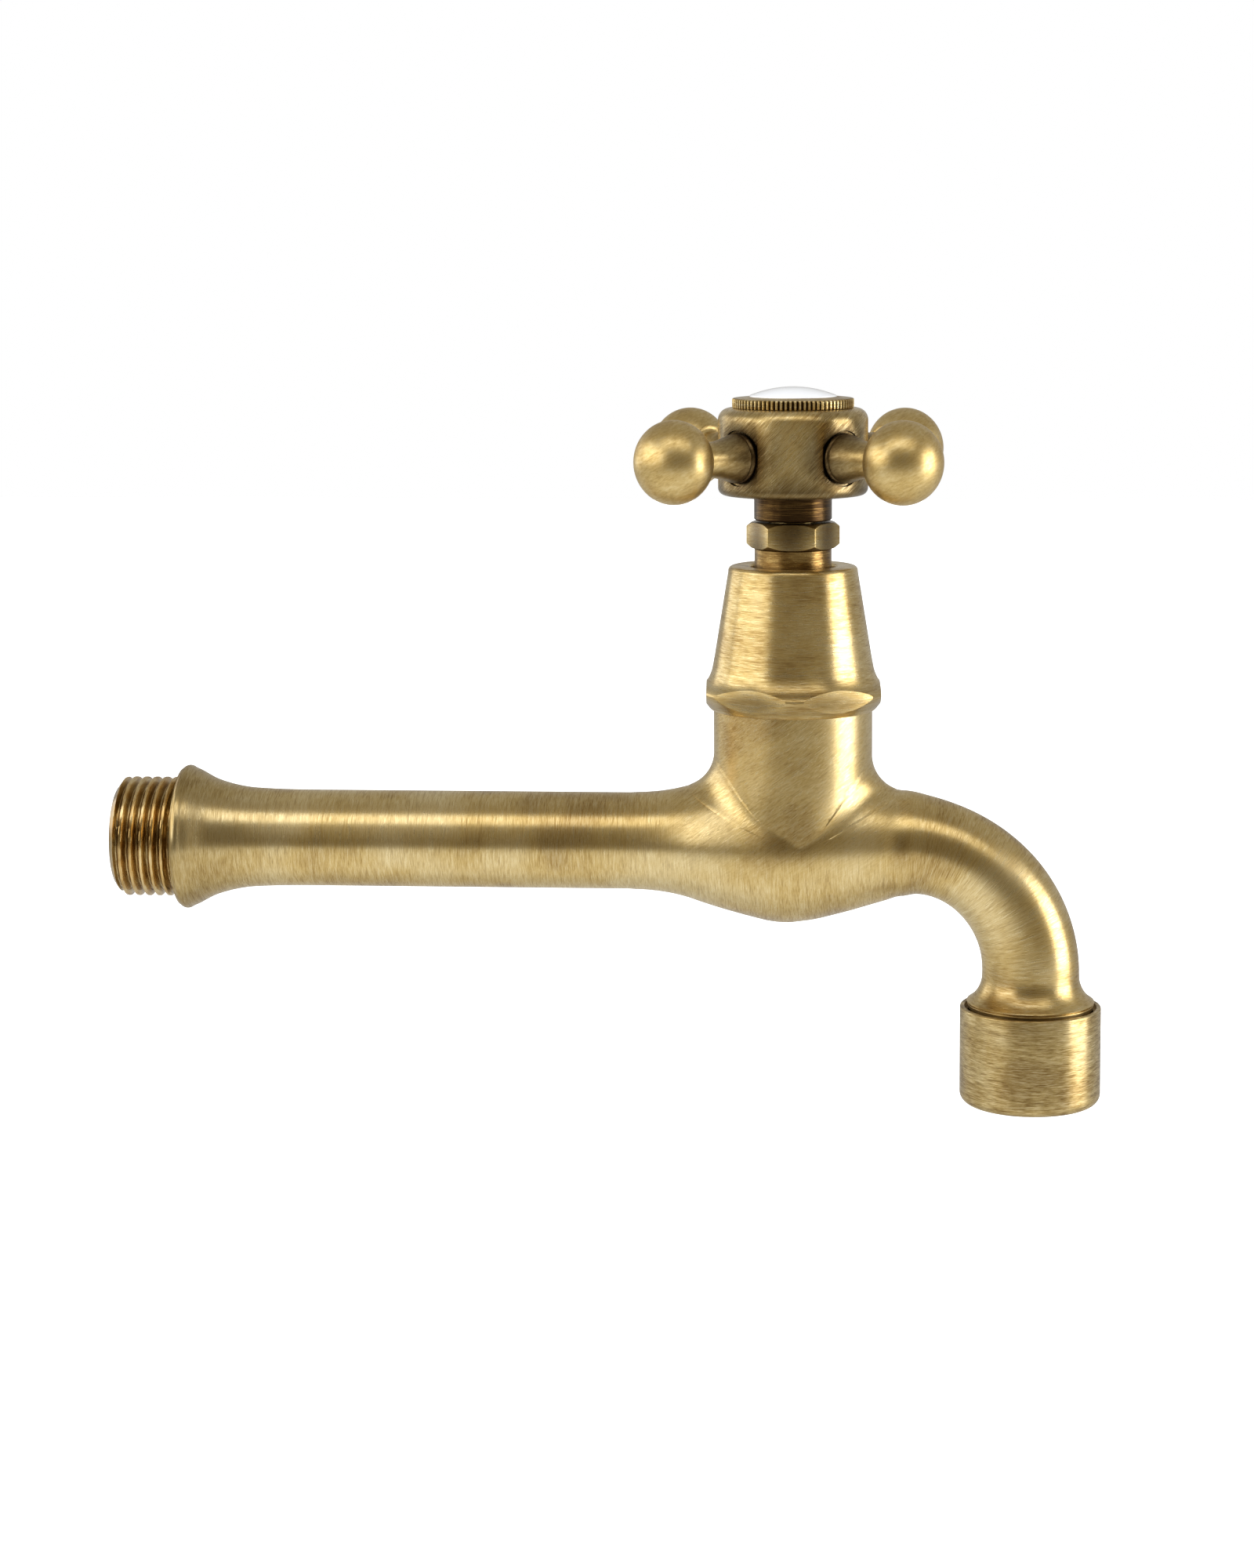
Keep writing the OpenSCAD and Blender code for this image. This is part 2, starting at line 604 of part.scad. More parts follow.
// The aerator's housing: a plain cap screwed on the spout, with a lip that holds the cartridge
module aerator_housing() color("#a07d50") at_outlet() difference() {
    rotate_extrude() polygon(concat(
        [[0, housing_z], [lip_r + 0.6, housing_z]],
        arc([housing_r - 1.8, housing_z + 1.8], 1.8, -90, 0, 6),
        arc([housing_r - 0.3, housing_top - 0.3], 0.3, 0, 90, 3),
        [[0, housing_top]]
    ));
    translate([0, 0, housing_z - past]) cylinder(r = lip_r, h = housing_h);
    translate([0, 0, cart_z]) cylinder(r = outlet_r + screw_gap, h = housing_h);
    translate([0, 0, housing_top - 1]) cylinder(r = housing_r - housing_wall, h = 2);
}

module aerator_gasket() color("#2a2a2a") at_outlet()
    tube(cart_r, cart_r - 2.1, cart_top + end_gap, gasket_h);

// The aerator's cartridge: a cup with a drilled plate across its top
module aerator_cartridge() color("#d9d9d4") at_outlet() difference() {
    translate([0, 0, cart_z]) cylinder(r = cart_r, h = cart_top - cart_z);
    translate([0, 0, cart_z - past])
        cylinder(r = cart_r - cart_wall, h = cart_top - cart_z - plate_h + past);
    // Two rings of holes, each a count and a radius
    for (ring = [[8, 0.47 * cart_r], [12, 0.71 * cart_r]]) for (i = [0 : ring[0] - 1])
        rotate(360 * i / ring[0]) translate([ring[1], 0, cart_z + past])
            cylinder(r = 0.7, h = cart_top - cart_z);
}

// Two woven screens, drawn as square grids in a rim
module aerator_screens() color("#b9bcc0") at_outlet() for (k = [0, 1]) {
    r = cart_r - cart_wall - end_gap;
    z = cart_z + 2.2 + k * (screen_h + end_gap + 0.4);
    tube(r, r - 0.7, z, screen_h);
    intersection() {
        translate([0, 0, z]) cylinder(r = r - 0.3, h = screen_h);
        for (i = [-4 : 4]) rotate(90 * k) translate([2 * i - 0.3, -r, z]) cube([0.6, 2 * r, screen_h]);
    }
}

// The flow straightener across the outlet: rings and ribs
module aerator_grid() color("#e4e4df") at_outlet() {
    r = cart_r - cart_wall - end_gap;
    z = cart_z + 0.2;
    h = 1.9;
    for (k = [1 : 3]) tube(r * k / 4 + 0.3, r * k / 4 - 0.3, z, h);
    tube(r, r - 0.7, z, h);
    for (i = [0 : 11]) rotate(30 * i) translate([r / 4, -0.3, z]) cube([0.75 * r - 0.3, 0.6, h]);
    translate([0, 0, z]) cylinder(r = 0.9, h = h);
    for (i = [0 : 3]) rotate(90 * i) translate([0.5, -0.3, z]) cube([r / 4 - 0.5, 0.6, h]);
}

tap_body();
bonnet_gasket();
bonnet();
packing_rings();
gland_follower();
gland_nut();
bell_cover();
seat_washer();
jumper();
washer_nut();
spindle();
handle_sleeve();
handle_hub();
handle_arm_1();
handle_arm_2();
handle_arm_3();
handle_arm_4();
handle_screw();
index_ring();
index_disc();
aerator_housing();
aerator_gasket();
aerator_cartridge();
aerator_screens();
aerator_grid();
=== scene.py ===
"""A wall-mounted hose bib in antique brushed brass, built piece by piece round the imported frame."""

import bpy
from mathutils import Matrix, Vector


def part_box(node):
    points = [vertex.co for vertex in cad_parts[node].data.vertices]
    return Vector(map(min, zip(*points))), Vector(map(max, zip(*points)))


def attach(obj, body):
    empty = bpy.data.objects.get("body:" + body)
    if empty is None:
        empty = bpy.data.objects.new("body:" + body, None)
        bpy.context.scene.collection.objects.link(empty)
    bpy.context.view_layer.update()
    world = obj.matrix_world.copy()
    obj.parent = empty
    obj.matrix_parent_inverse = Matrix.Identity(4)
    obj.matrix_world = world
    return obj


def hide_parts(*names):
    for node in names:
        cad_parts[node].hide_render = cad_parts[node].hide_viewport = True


bl_info = {
    "name": "Hose Bib in Antique Brass",
    "version": (1, 0, 0),
    "blender": (4, 5, 0),
    "location": "3D View > Sidebar > Hose Bib",
    "description": "Builds a long-neck bib tap with a four-arm handle, its finishes and its studio",
    "category": "Add Mesh",
}

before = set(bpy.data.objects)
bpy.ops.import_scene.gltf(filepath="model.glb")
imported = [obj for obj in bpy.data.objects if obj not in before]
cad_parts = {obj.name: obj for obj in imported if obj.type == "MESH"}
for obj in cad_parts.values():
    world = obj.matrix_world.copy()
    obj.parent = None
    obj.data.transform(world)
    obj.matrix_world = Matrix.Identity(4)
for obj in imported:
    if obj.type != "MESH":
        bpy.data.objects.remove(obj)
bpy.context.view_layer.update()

import math

import bpy
from bpy.props import FloatProperty, FloatVectorProperty, IntProperty, PointerProperty
from mathutils import Matrix, Vector

MM = 0.001
FULL = 2 * math.pi


# ---------------------------------------------------------------------------------------------
# Places read from the frame, in millimetres
# ---------------------------------------------------------------------------------------------

def box_mm(node):
    """Lowest and highest corners of a node, in millimetres."""
    low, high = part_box(node)
    return Vector(low) / MM, Vector(high) / MM


def middle(node):
    low, high = box_mm(node)
    return (low + high) / 2


def heights(node):
    """Lowest and highest z of a node, in millimetres."""
    low, high = box_mm(node)
    return low.z, high.z


VALVE_X = middle("handle_hub").x
OUTLET_X = middle("aerator_housing").x
HUB_Z, HUB_TOP = heights("handle_hub")
HUB_R = (box_mm("handle_hub")[1].x - box_mm("handle_hub")[0].x) / 2
BELL_Z, BELL_TOP = heights("bell_cover")
NUT_TOP = heights("gland_nut")[1]
BONNET_TOP = heights("bonnet")[1]
HOUSING_Z, HOUSING_TOP = heights("aerator_housing")

# A point on the valve's upright axis, in millimetres for the shapes and in metres for the materials
VALVE = (VALVE_X, 0, 0)
VALVE_M = (VALVE_X * MM, 0, 0)
# Depth of the relief in the flange's back, where the inlet's thread begins
RELIEF = 0.4
# Radius of the inlet's bore
INLET_BORE = 6.2
# Depth of the spot faces that the handle's arms stand on, in the hub's side
SPOT_DEPTH = 0.75


# ---------------------------------------------------------------------------------------------
# Settings a user would change
# ---------------------------------------------------------------------------------------------

def size(name, description, mm):
    return FloatProperty(name=name, description=description, default=mm * MM, unit="LENGTH")


def linear(hex_colour):
    """sRGB hex to linear red, green, blue, alpha."""
    parts = [int(hex_colour[i:i + 2], 16) / 255 for i in (1, 3, 5)]
    return tuple(c / 12.92 if c <= 0.04045 else ((c + 0.055) / 1.055) ** 2.4 for c in parts) + (1.0,)


def colour(name, description, hex_colour):
    return FloatVectorProperty(name=name, description=description, subtype="COLOR", size=4,
                               min=0, max=1, default=linear(hex_colour))


class HoseBibSizes(bpy.types.PropertyGroup):
    """Sizes of the outside of the tap."""
    run_r: size("Run radius", "Radius of the straight run behind the valve", 8.42)
    flange_r: size("Flange radius", "Radius of the wall flange", 12.6)
    flare: size("Flare length", "How far the flange takes to flare down to the run", 22.0)
    neck_r: size("Neck radius", "Radius of the valve's neck", 13.73)
    neck_fillet: size("Neck fillet", "Radius of the fillet at the neck's foot", 6.5)
    bend_r: size("Bend radius", "Radius of the spout's bend on its centre line", 22.5)
    thread_r: size("Inlet thread radius", "Crest radius of the inlet's thread", 10.4775)
    thread_pitch: size("Inlet thread pitch", "Distance from crest to crest", 1.814)
    thread_depth: size("Inlet thread depth", "Crest to root of the inlet's thread", 1.162)
    thread_len: size("Inlet length", "Length of the threaded inlet behind the wall", 11.3)
    bell_af: size("Bell flats", "Distance across the bell cover's six flats", 30.0)
    nut_af: size("Nut flats", "Distance across the gland nut's six flats", 14.0)
    sleeve_r: size("Sleeve radius", "Radius of the sleeve under the hub", 6.72)
    arm_up: size("Arm height", "Height of the arms' axis above the hub's underside", 6.8)
    knob_at: size("Knob distance", "Distance from the valve's axis to a knob's middle", 27.0)
    knob_r: size("Knob radius", "Radius of a knob, across its arm", 7.1)
    knob_half: size("Knob half length", "Half the length of a knob, along its arm", 6.45)
    ring_r: size("Ring radius", "Radius of the coin-edged ring", 10.47)
    disc_r: size("Disc radius", "Radius of the porcelain disc", 7.5)
    housing_r: size("Aerator radius", "Radius of the aerator's housing", 12.25)
    flutes: IntProperty(name="Flutes", description="Number of flutes in the ring's edge", default=80)


class HoseBibFinishes(bpy.types.PropertyGroup):
    """Colours of the finishes."""
    brass: colour("Brass", "Rubbed antique brass", "#C5AA6E")
    pale: colour("Rubbed brass", "Where the finish is rubbed bright", "#E4D3A6")
    patina: colour("Patina", "Brown tint left in the hollows and brush marks", "#87683A")
    # dark paints the sleeve's shade under the hub, and the soil-and-shade masks mix it in, both as brown and
    # as painted shade
    dark: colour("Dark brass", "The darkest brown of the sleeve and seams", "#3C2B19")
    raw: colour("Raw brass", "Freshly cut brass of the inlet's thread", "#C6A468")
    porcelain: colour("Porcelain", "Glazed disc on the handle", "#F7F9FD")
    floor: colour("Floor", "Plain pale floor", "#CBCBC9")


# ---------------------------------------------------------------------------------------------
# Modelling by hand, in code
# ---------------------------------------------------------------------------------------------

def leave_edit():
    """Goes back to object mode, if it isn't there already."""
    if bpy.context.mode != "OBJECT":
        bpy.ops.object.mode_set(mode="OBJECT")


def start_clean():
    """Object mode with nothing selected, as a new primitive needs."""
    leave_edit()
    bpy.ops.object.select_all(action="DESELECT")


def pick(obj):
    """Makes obj the only selected object, in object mode."""
    start_clean()
    obj.select_set(True)
    bpy.context.view_layer.objects.active = obj


def edit(obj):
    """Opens obj for editing with all of it selected."""
    pick(obj)
    bpy.ops.object.mode_set(mode="EDIT")
    bpy.ops.mesh.select_all(action="SELECT")


def started(name):
    """Names the primitive just added, puts its place in its mesh and opens it for editing."""
    obj = bpy.context.object
    obj.name = obj.data.name = name
    bpy.ops.object.transform_apply(location=True, rotation=True, scale=True)
    edit(obj)
    return obj


# Points closer than this, in metres, are merged
DOUBLES = 2e-6


def tidy_mesh():
    """Merges doubles, turns the faces outwards and goes back to object mode."""
    bpy.ops.mesh.select_all(action="SELECT")
    bpy.ops.mesh.remove_doubles(threshold=DOUBLES)
    bpy.ops.mesh.normals_make_consistent(inside=False)
    leave_edit()


# Each axis a piece is turned round, with the direction its profile's radius is drawn in
AXES = {"Z": (Vector((0, 0, 1)), Vector((1, 0, 0))), "X": (Vector((1, 0, 0)), Vector((0, 0, 1)))}

# With no window, transform.rotate turns the other way
TURN_SIGN = -1


def turned(name, profile, at=(0, 0, 0), along="Z", steps=128):
    """Turns a profile of (radius, height) points round an axis through at, all in millimetres."""
    start_clean()
    centre = Vector(at) * MM
    bpy.ops.mesh.primitive_plane_add(size=MM, location=centre)
    obj = started(name)
    bpy.ops.mesh.merge(type="CENTER")
    axis, out = AXES[along]
    points = [centre + (out * r + axis * h) * MM for r, h in profile]
    bpy.ops.transform.translate(value=points[0] - centre)
    for p, q in zip(points, points[1:]):
        bpy.ops.mesh.extrude_vertices_move(TRANSFORM_OT_translate={"value": q - p})
    bpy.ops.mesh.select_all(action="SELECT")
    bpy.ops.mesh.spin(steps=steps, angle=FULL, center=centre, axis=axis)
    tidy_mesh()
    return obj


def drawn(name, stations, vertices=144):
    """Draws a round bar through stations of (x, z, turn downwards, radius) in the plane y = 0."""
    start_clean()
    x, z, turn, r = stations[0]
    bpy.ops.mesh.primitive_circle_add(vertices=vertices, radius=r * MM, fill_type="NGON",
                                      location=(x * MM, 0, z * MM), rotation=(0, math.pi / 2 + turn, 0))
    obj = started(name)
    for (x0, z0, t0, r0), (x1, z1, t1, r1) in zip(stations, stations[1:]):
        centre = (x1 * MM, 0, z1 * MM)
        bpy.ops.mesh.extrude_region_move(
            TRANSFORM_OT_translate={"value": ((x1 - x0) * MM, 0, (z1 - z0) * MM)})
        if abs(t1 - t0) > 1e-6:
            bpy.ops.transform.rotate(value=TURN_SIGN * (t1 - t0), orient_axis="Y", center_override=centre)
        if abs(r1 - r0) > 1e-9:
            bpy.ops.transform.resize(value=(r1 / r0,) * 3, center_override=centre)
    tidy_mesh()
    return obj


def combined(obj, other, how):
    """Joins, cuts or keeps the common part of obj with other, which is used up."""
    pick(obj)
    modifier = obj.modifiers.new(how.title(), "BOOLEAN")
    modifier.operation = how
    modifier.solver = "EXACT"
    modifier.object = other
    bpy.ops.object.modifier_apply(modifier=modifier.name)
    bpy.data.objects.remove(other)
    return obj


def flats(obj, at, across, turn, count=6):
    """Cuts flats round an upright axis."""
    edit(obj)
    for i in range(count):
        a = turn + FULL * i / count
        normal = Vector((math.cos(a), math.sin(a), 0))
        bpy.ops.mesh.select_all(action="SELECT")
        bpy.ops.mesh.bisect(plane_co=Vector(at) * MM + normal * across / 2 * MM, plane_no=normal,
                            use_fill=True, clear_outer=True, threshold=1e-7)
    tidy_mesh()


def cut_out(piece, add, name, **settings):
    """Cuts a primitive, added by the operator add with its settings, out of a piece."""
    start_clean()
    add(**settings)
    cutter = started(name)
    leave_edit()
    combined(piece, cutter, "DIFFERENCE")


def broken_edges(obj, width, sharp=math.radians(20), segments=2):
    """Breaks every edge over the angle sharp with a small rounded bevel."""
    pick(obj)
    modifier = obj.modifiers.new("Broken edges", "BEVEL")
    modifier.limit_method = "ANGLE"
    modifier.angle_limit = sharp
    modifier.width = width * MM
    modifier.segments = segments
    modifier.use_clamp_overlap = True
    bpy.ops.object.modifier_apply(modifier=modifier.name)


def finished(obj, body, materials, replaces=(), smooth=35):
    """Gives a piece its shading, body and materials, and hides the pieces it replaces."""
    pick(obj)
    bpy.ops.object.shade_smooth_by_angle(angle=math.radians(smooth))
    obj.data.materials.clear()
    for m in materials:
        obj.data.materials.append(m)
    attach(obj, body)
    if replaces:
        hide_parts(*replaces)
    return obj


def arc(r, h, radius, start, end, count=6):
    """Profile points on an arc round (r, h), from start to end in degrees."""
    steps = [math.radians(start + (end - start) * i / count) for i in range(count + 1)]
    return [(r + radius * math.cos(a), h + radius * math.sin(a)) for a in steps]


def fair(points, per_span=6):
    """A smooth curve through points (Catmull-Rom)."""
    padded = [points[0], *points, points[-1]]
    out = []
    for p0, p1, p2, p3 in zip(padded, padded[1:], padded[2:], padded[3:]):
        for i in range(per_span):
            t = i / per_span
            out.append(tuple(
                0.5 * (2 * b + (c - a) * t + (2 * a - 5 * b + 4 * c - d) * t * t
                       + (3 * b - a - 3 * c + d) * t ** 3)
                for a, b, c, d in zip(p0, p1, p2, p3)))
    return out + [tuple(points[-1])]


def read_off(points, x):
    """Smooth value at x of a curve given by (x, value) points."""
    points = list(points)
    if x <= points[0][0]:
        return points[0][1]
    if x >= points[-1][0]:
        return points[-1][1]
    k = max(i for i in range(len(points) - 1) if points[i][0] <= x)
    (xa, a), (xb, b) = points[k], points[k + 1]
    slope_a = (b - points[k - 1][1]) / (xb - points[k - 1][0]) if k else 0
    slope_b = (points[k + 2][1] - a) / (points[k + 2][0] - xa) if k + 2 < len(points) else 0
    span, t = xb - xa, (x - xa) / (xb - xa)
    return ((2 * t ** 3 - 3 * t * t + 1) * a + (t ** 3 - 2 * t * t + t) * span * slope_a
            + (3 * t * t - 2 * t ** 3) * b + (t ** 3 - t * t) * span * slope_b)


# ---------------------------------------------------------------------------------------------
# Finishes
# ---------------------------------------------------------------------------------------------

def node(material, kind, settings=(), **links):
    """Adds a node with its settings and links; an input is a value or another node's (node, output).
    The setting called stops holds a ramp's (position, colour) pairs."""
    tree = material.node_tree
    made = tree.nodes.new(kind)
    for key, value in dict(settings).items():
        if key == "stops":
            for position, shade in value[1:-1]:
                made.color_ramp.elements.new(position)
            for element, (position, shade) in zip(made.color_ramp.elements, value):
                element.position, element.color = position, shade
        else:
            setattr(made, key, value)
    for key, value in links.items():
        if key.startswith("in"):
            socket = made.inputs[int(key[2:])]
        else:
            socket = made.inputs[key.replace("_", " ")]
        if isinstance(value, tuple) and len(value) == 2 and hasattr(value[0], "outputs"):
            tree.links.new(value[0].outputs[value[1]], socket)
        else:
            socket.default_value = value
    return made


def new_material(name):
    material = bpy.data.materials.new(name)
    material.use_nodes = True
    material.node_tree.nodes.clear()
    return material


def finish(name):
    """A colour of the finishes, as linear red, green, blue, alpha."""
    return tuple(getattr(bpy.context.scene.hose_bib_finishes, name))


def brush_marks(material, coords, grain, scale, turn, centre):
    """Fine and coarse brush marks, long along x, y and z as scale says, after a turn round centre.
    Marks on brushed brass are usually a few hundredths of a millimetre wide. These are drawn coarser,
    as wide as grain, so that they show."""
    placed = node(material, "ShaderNodeMapping", Vector=coords, Location=tuple(-c for c in centre))
    turned_to = node(material, "ShaderNodeMapping", Vector=(placed, 0), Rotation=turn)
    layers = []
    for coarser, settings in ((1, {"Roughness": 0.7}), (4, {"Roughness": 0.6, "Distortion": 0.4})):
        stretched = node(material, "ShaderNodeMapping", Vector=(turned_to, 0),
                         Scale=tuple(1 / (s * grain * coarser) for s in scale))
        layers.append(node(material, "ShaderNodeTexNoise", Vector=(stretched, 0), Scale=1.0, Detail=3.0,
                           **settings))
    fine, coarse = layers
    return (node(material, "ShaderNodeMath", {"operation": "MULTIPLY_ADD"}, in0=(coarse, 0), in1=0.5,
                 in2=(fine, 0)), 0)


def off_axis(material, coords, centre=VALVE_M, plane=(1, 1, 0)):
    """Distance from an axis through centre and square to plane, and the place from centre, in metres."""
    placed = node(material, "ShaderNodeMapping", Vector=coords, Location=tuple(-c for c in centre))
    level = node(material, "ShaderNodeVectorMath", {"operation": "MULTIPLY"}, in0=(placed, 0), in1=plane)
    out = node(material, "ShaderNodeVectorMath", {"operation": "LENGTH"}, in0=(level, 0))
    return (out, "Value"), (placed, 0)


def brown_up_to(material, distance, marks, ragged, near, far, strength):
    """Brown of a strength up to near and none past far, its edge made ragged by the brush marks."""
    edge = node(material, "ShaderNodeMath", {"operation": "MULTIPLY_ADD"}, in0=marks, in1=ragged,
                in2=distance)
    return (node(material, "ShaderNodeMapRange", in0=(edge, 0), in1=near, in2=far, in3=strength, in4=0.0), 0)


def brushed(name, grain, scale, tones=("brass", "pale", "patina"), turn=(0, 0, 0), centre=VALVE_M,
            casting=False, roughness=(0.25, 0.36), wear=0.85, bump=0.3, blotch=0.010, streak=0.65,
            spread_out=0.75, soil_and_shade=None):
    """Brushed antique brass: bright satin streaks where the brush rubbed it, and brown left between them.
    grain is the width of a brush mark and scale its length along x, y and z. tones are the finishes of
    the metal, its rubbed places and its hollows. Highlights spread across the marks, which run round the
    upright axis, or on the casting as its attributes say."""
    material = new_material(name)
    base, bright, deep = (finish(tone) for tone in tones)
    coords = (node(material, "ShaderNodeTexCoord"), "Object")
    if casting:
        straight = (node(material, "ShaderNodeAttribute", {"attribute_name": "straight"}), "Vector")
        on_neck = (node(material, "ShaderNodeAttribute", {"attribute_name": "neck"}), "Fac")
        along_run = brush_marks(material, straight, grain, scale, turn, centre)
        round_neck = brush_marks(material, coords, grain * 0.8, (1, 9, 9), (0, -0.95, 0), centre)
        marks = (node(material, "ShaderNodeMix", in0=on_neck, in2=along_run, in3=round_neck), 0)
        tangent = (node(material, "ShaderNodeAttribute", {"attribute_name": "brush"}), "Vector")
    else:
        marks = brush_marks(material, coords, grain, scale, turn, centre)
        tangent = (node(material, "ShaderNodeTangent", {"direction_type": "RADIAL", "axis": "Z"}), 0)
    cloud = node(material, "ShaderNodeTexNoise", Vector=coords, Scale=1 / blotch, Detail=3.0, Roughness=0.55)
    tone = node(material, "ShaderNodeMapRange", in0=marks, in1=0.56, in2=0.93, in3=0.0, in4=1.0)
    worn = node(material, "ShaderNodeMapRange", in0=(cloud, 0), in1=0.35, in2=0.68, in3=0.0, in4=1.0)
    rubbed, clouded = (
        node(material, "ShaderNodeValToRGB", {"stops": [(0.0, deep), (at, base), (1.0, bright)]},
             in0=(amount, 0))
        for at, amount in ((0.45, tone), (0.4, worn)))
    skin = (node(material, "ShaderNodeMix", {"data_type": "RGBA"}, in0=streak, in6=(clouded, 0),
                 in7=(rubbed, 0)), 2)
    skin = (node(material, "ShaderNodeMix", {"data_type": "RGBA"}, in0=wear, in6=base, in7=skin), 2)
    # Mixes in the dark brown: brown left on the metal, and painted shade round the hub's arms
    if soil_and_shade:
        skin = (node(material, "ShaderNodeMix", {"data_type": "RGBA"}, in0=soil_and_shade(material, coords, marks),
                     in6=skin, in7=finish("dark")), 2)
    rough = node(material, "ShaderNodeMapRange", in0=(tone, 0), in1=0.0, in2=1.0, in3=roughness[1],
                 in4=roughness[0])
    height = node(material, "ShaderNodeBump", Strength=bump, Distance=grain * 0.5, Height=marks)
    shader = node(material, "ShaderNodeBsdfPrincipled", Base_Color=skin, Metallic=1.0,
                  Roughness=(rough, 0), Anisotropic=spread_out, Normal=(height, 0), Tangent=tangent,
                  Anisotropic_Rotation=0.0 if casting else 0.25)
    node(material, "ShaderNodeOutputMaterial", Surface=(shader, 0))
    return material


def plain(name, base, roughness, metallic=0.0, speckle=0.0008, bump=0.05, tint=0.85, coat=0.0, ior=1.5):
    """A moulded, pressed, glazed or turned surface with fine unevenness, speckle across."""
    material = new_material(name)
    source = node(material, "ShaderNodeTexCoord")
    grain = node(material, "ShaderNodeTexNoise", Vector=(source, "Object"), Scale=1 / speckle, Detail=3.0)
    dull = tuple(c * tint for c in base[:3]) + (1.0,)
    shade = node(material, "ShaderNodeValToRGB", {"stops": [(0.3, dull), (0.7, base)]}, in0=(grain, 0))
    rough = node(material, "ShaderNodeMapRange", in0=(grain, 0), in1=0.3, in2=0.7, in3=roughness * 0.85,
                 in4=min(1.0, roughness * 1.2))
    height = node(material, "ShaderNodeBump", Strength=bump, Distance=speckle * 0.3, Height=(grain, 0))
    settings = dict(Base_Color=(shade, 0), Metallic=metallic, Roughness=(rough, 0), Normal=(height, 0))
    if not metallic:
        settings.update(IOR=ior, Coat_Weight=coat, Coat_Roughness=0.04)
    shader = node(material, "ShaderNodeBsdfPrincipled", **settings)
    node(material, "ShaderNodeOutputMaterial", Surface=(shader, 0))
    return material


# ---------------------------------------------------------------------------------------------
# The pieces
# ---------------------------------------------------------------------------------------------

# Outline of the run and belly: distance from the valve's axis, radius
BELLY = ((-27, 8.5), (-24, 8.68), (-22, 8.94), (-20, 9.33), (-18, 9.85), (-16, 10.52), (-13, 11.45),
         (-10, 12.28), (-7, 13.05), (-4, 13.72), (-1, 13.97), (1.5, 13.72), (4, 13.34), (7, 12.6),
         (10, 11.8), (13, 10.9), (16, 10.0), (18.9, 9.2))
# Outline of the bend: turn in degrees, radius
BEND = ((0, 9.2), (10, 8.62), (20, 8.3), (35, 8.15), (55, 8.2), (75, 8.32), (90, 8.42))


def belly_radius(x):
    """Radius of the run and belly at x from the valve's axis."""
    return read_off(BELLY, x)


def body_stations(s):
    """Stations of the casting's outside, from the flange's back to the spout's thread."""
    bend_r = s.bend_r / MM
    bend_x = OUTLET_X - bend_r
    run_r, flange_r, flare = s.run_r / MM, s.flange_r / MM, s.flare / MM
    thread_clear = s.thread_r / MM + 0.15
    profile = [(RELIEF, thread_clear - 1.3), (RELIEF, thread_clear), (0.0, thread_clear),
               (0.0, flange_r - 0.5)]
    profile += [(h, r) for r, h in arc(flange_r - 1.0, 1.0, 1.0, -60, 40, 7)]
    flare_points = [(1.9, flange_r - 0.38), (2.9, flange_r - 0.82), (4.0, flange_r - 1.42),
                    (5.2, flange_r - 2.06), (6.6, flange_r - 2.62), (9.0, flange_r - 3.3),
                    (11.7, flange_r - 3.78), (14.5, run_r + 0.2), (18.0, run_r + 0.06), (flare, run_r)]
    profile += fair(flare_points, 4)
    run_step, belly_step = 3, 0.9
    x = flare + run_step
    while x < VALVE_X - 28:
        profile.append((x, run_r))
        x += run_step
    belly = [BELLY[0][0] + belly_step * i for i in range(52)]
    profile += [(VALVE_X + x, belly_radius(x)) for x in belly if x < bend_x - VALVE_X - 0.2]
    stations = [(x, 0.0, 0.0, r) for x, r in profile]
    for i in range(61):
        turn = math.radians(1.5 * i)
        stations.append((bend_x + bend_r * math.sin(turn), -bend_r + bend_r * math.cos(turn), turn,
                         read_off(BEND, 1.5 * i)))
    # The spout's flare, its collar, and the thread's undercut and root inside the aerator's housing
    outlet = [(8.45, -23.6), (8.62, -24.4), (8.9, -25.2), (9.35, -26.0), (10.0, -26.8), (10.7, -27.35),
              (11.03, -27.55), (11.09, -27.65), (11.03, -27.75), (10.75, -27.8), (10.72, -27.92),
              (10.95, -28.0), (10.98, -28.15), (10.9, -28.3), (10.9, HOUSING_TOP - 0.2),
              (10.5, HOUSING_TOP - 0.5), (10.5, HOUSING_Z + 9.6)]
    stations += [(OUTLET_X, z, math.pi / 2, r) for r, z in outlet]
    return stations


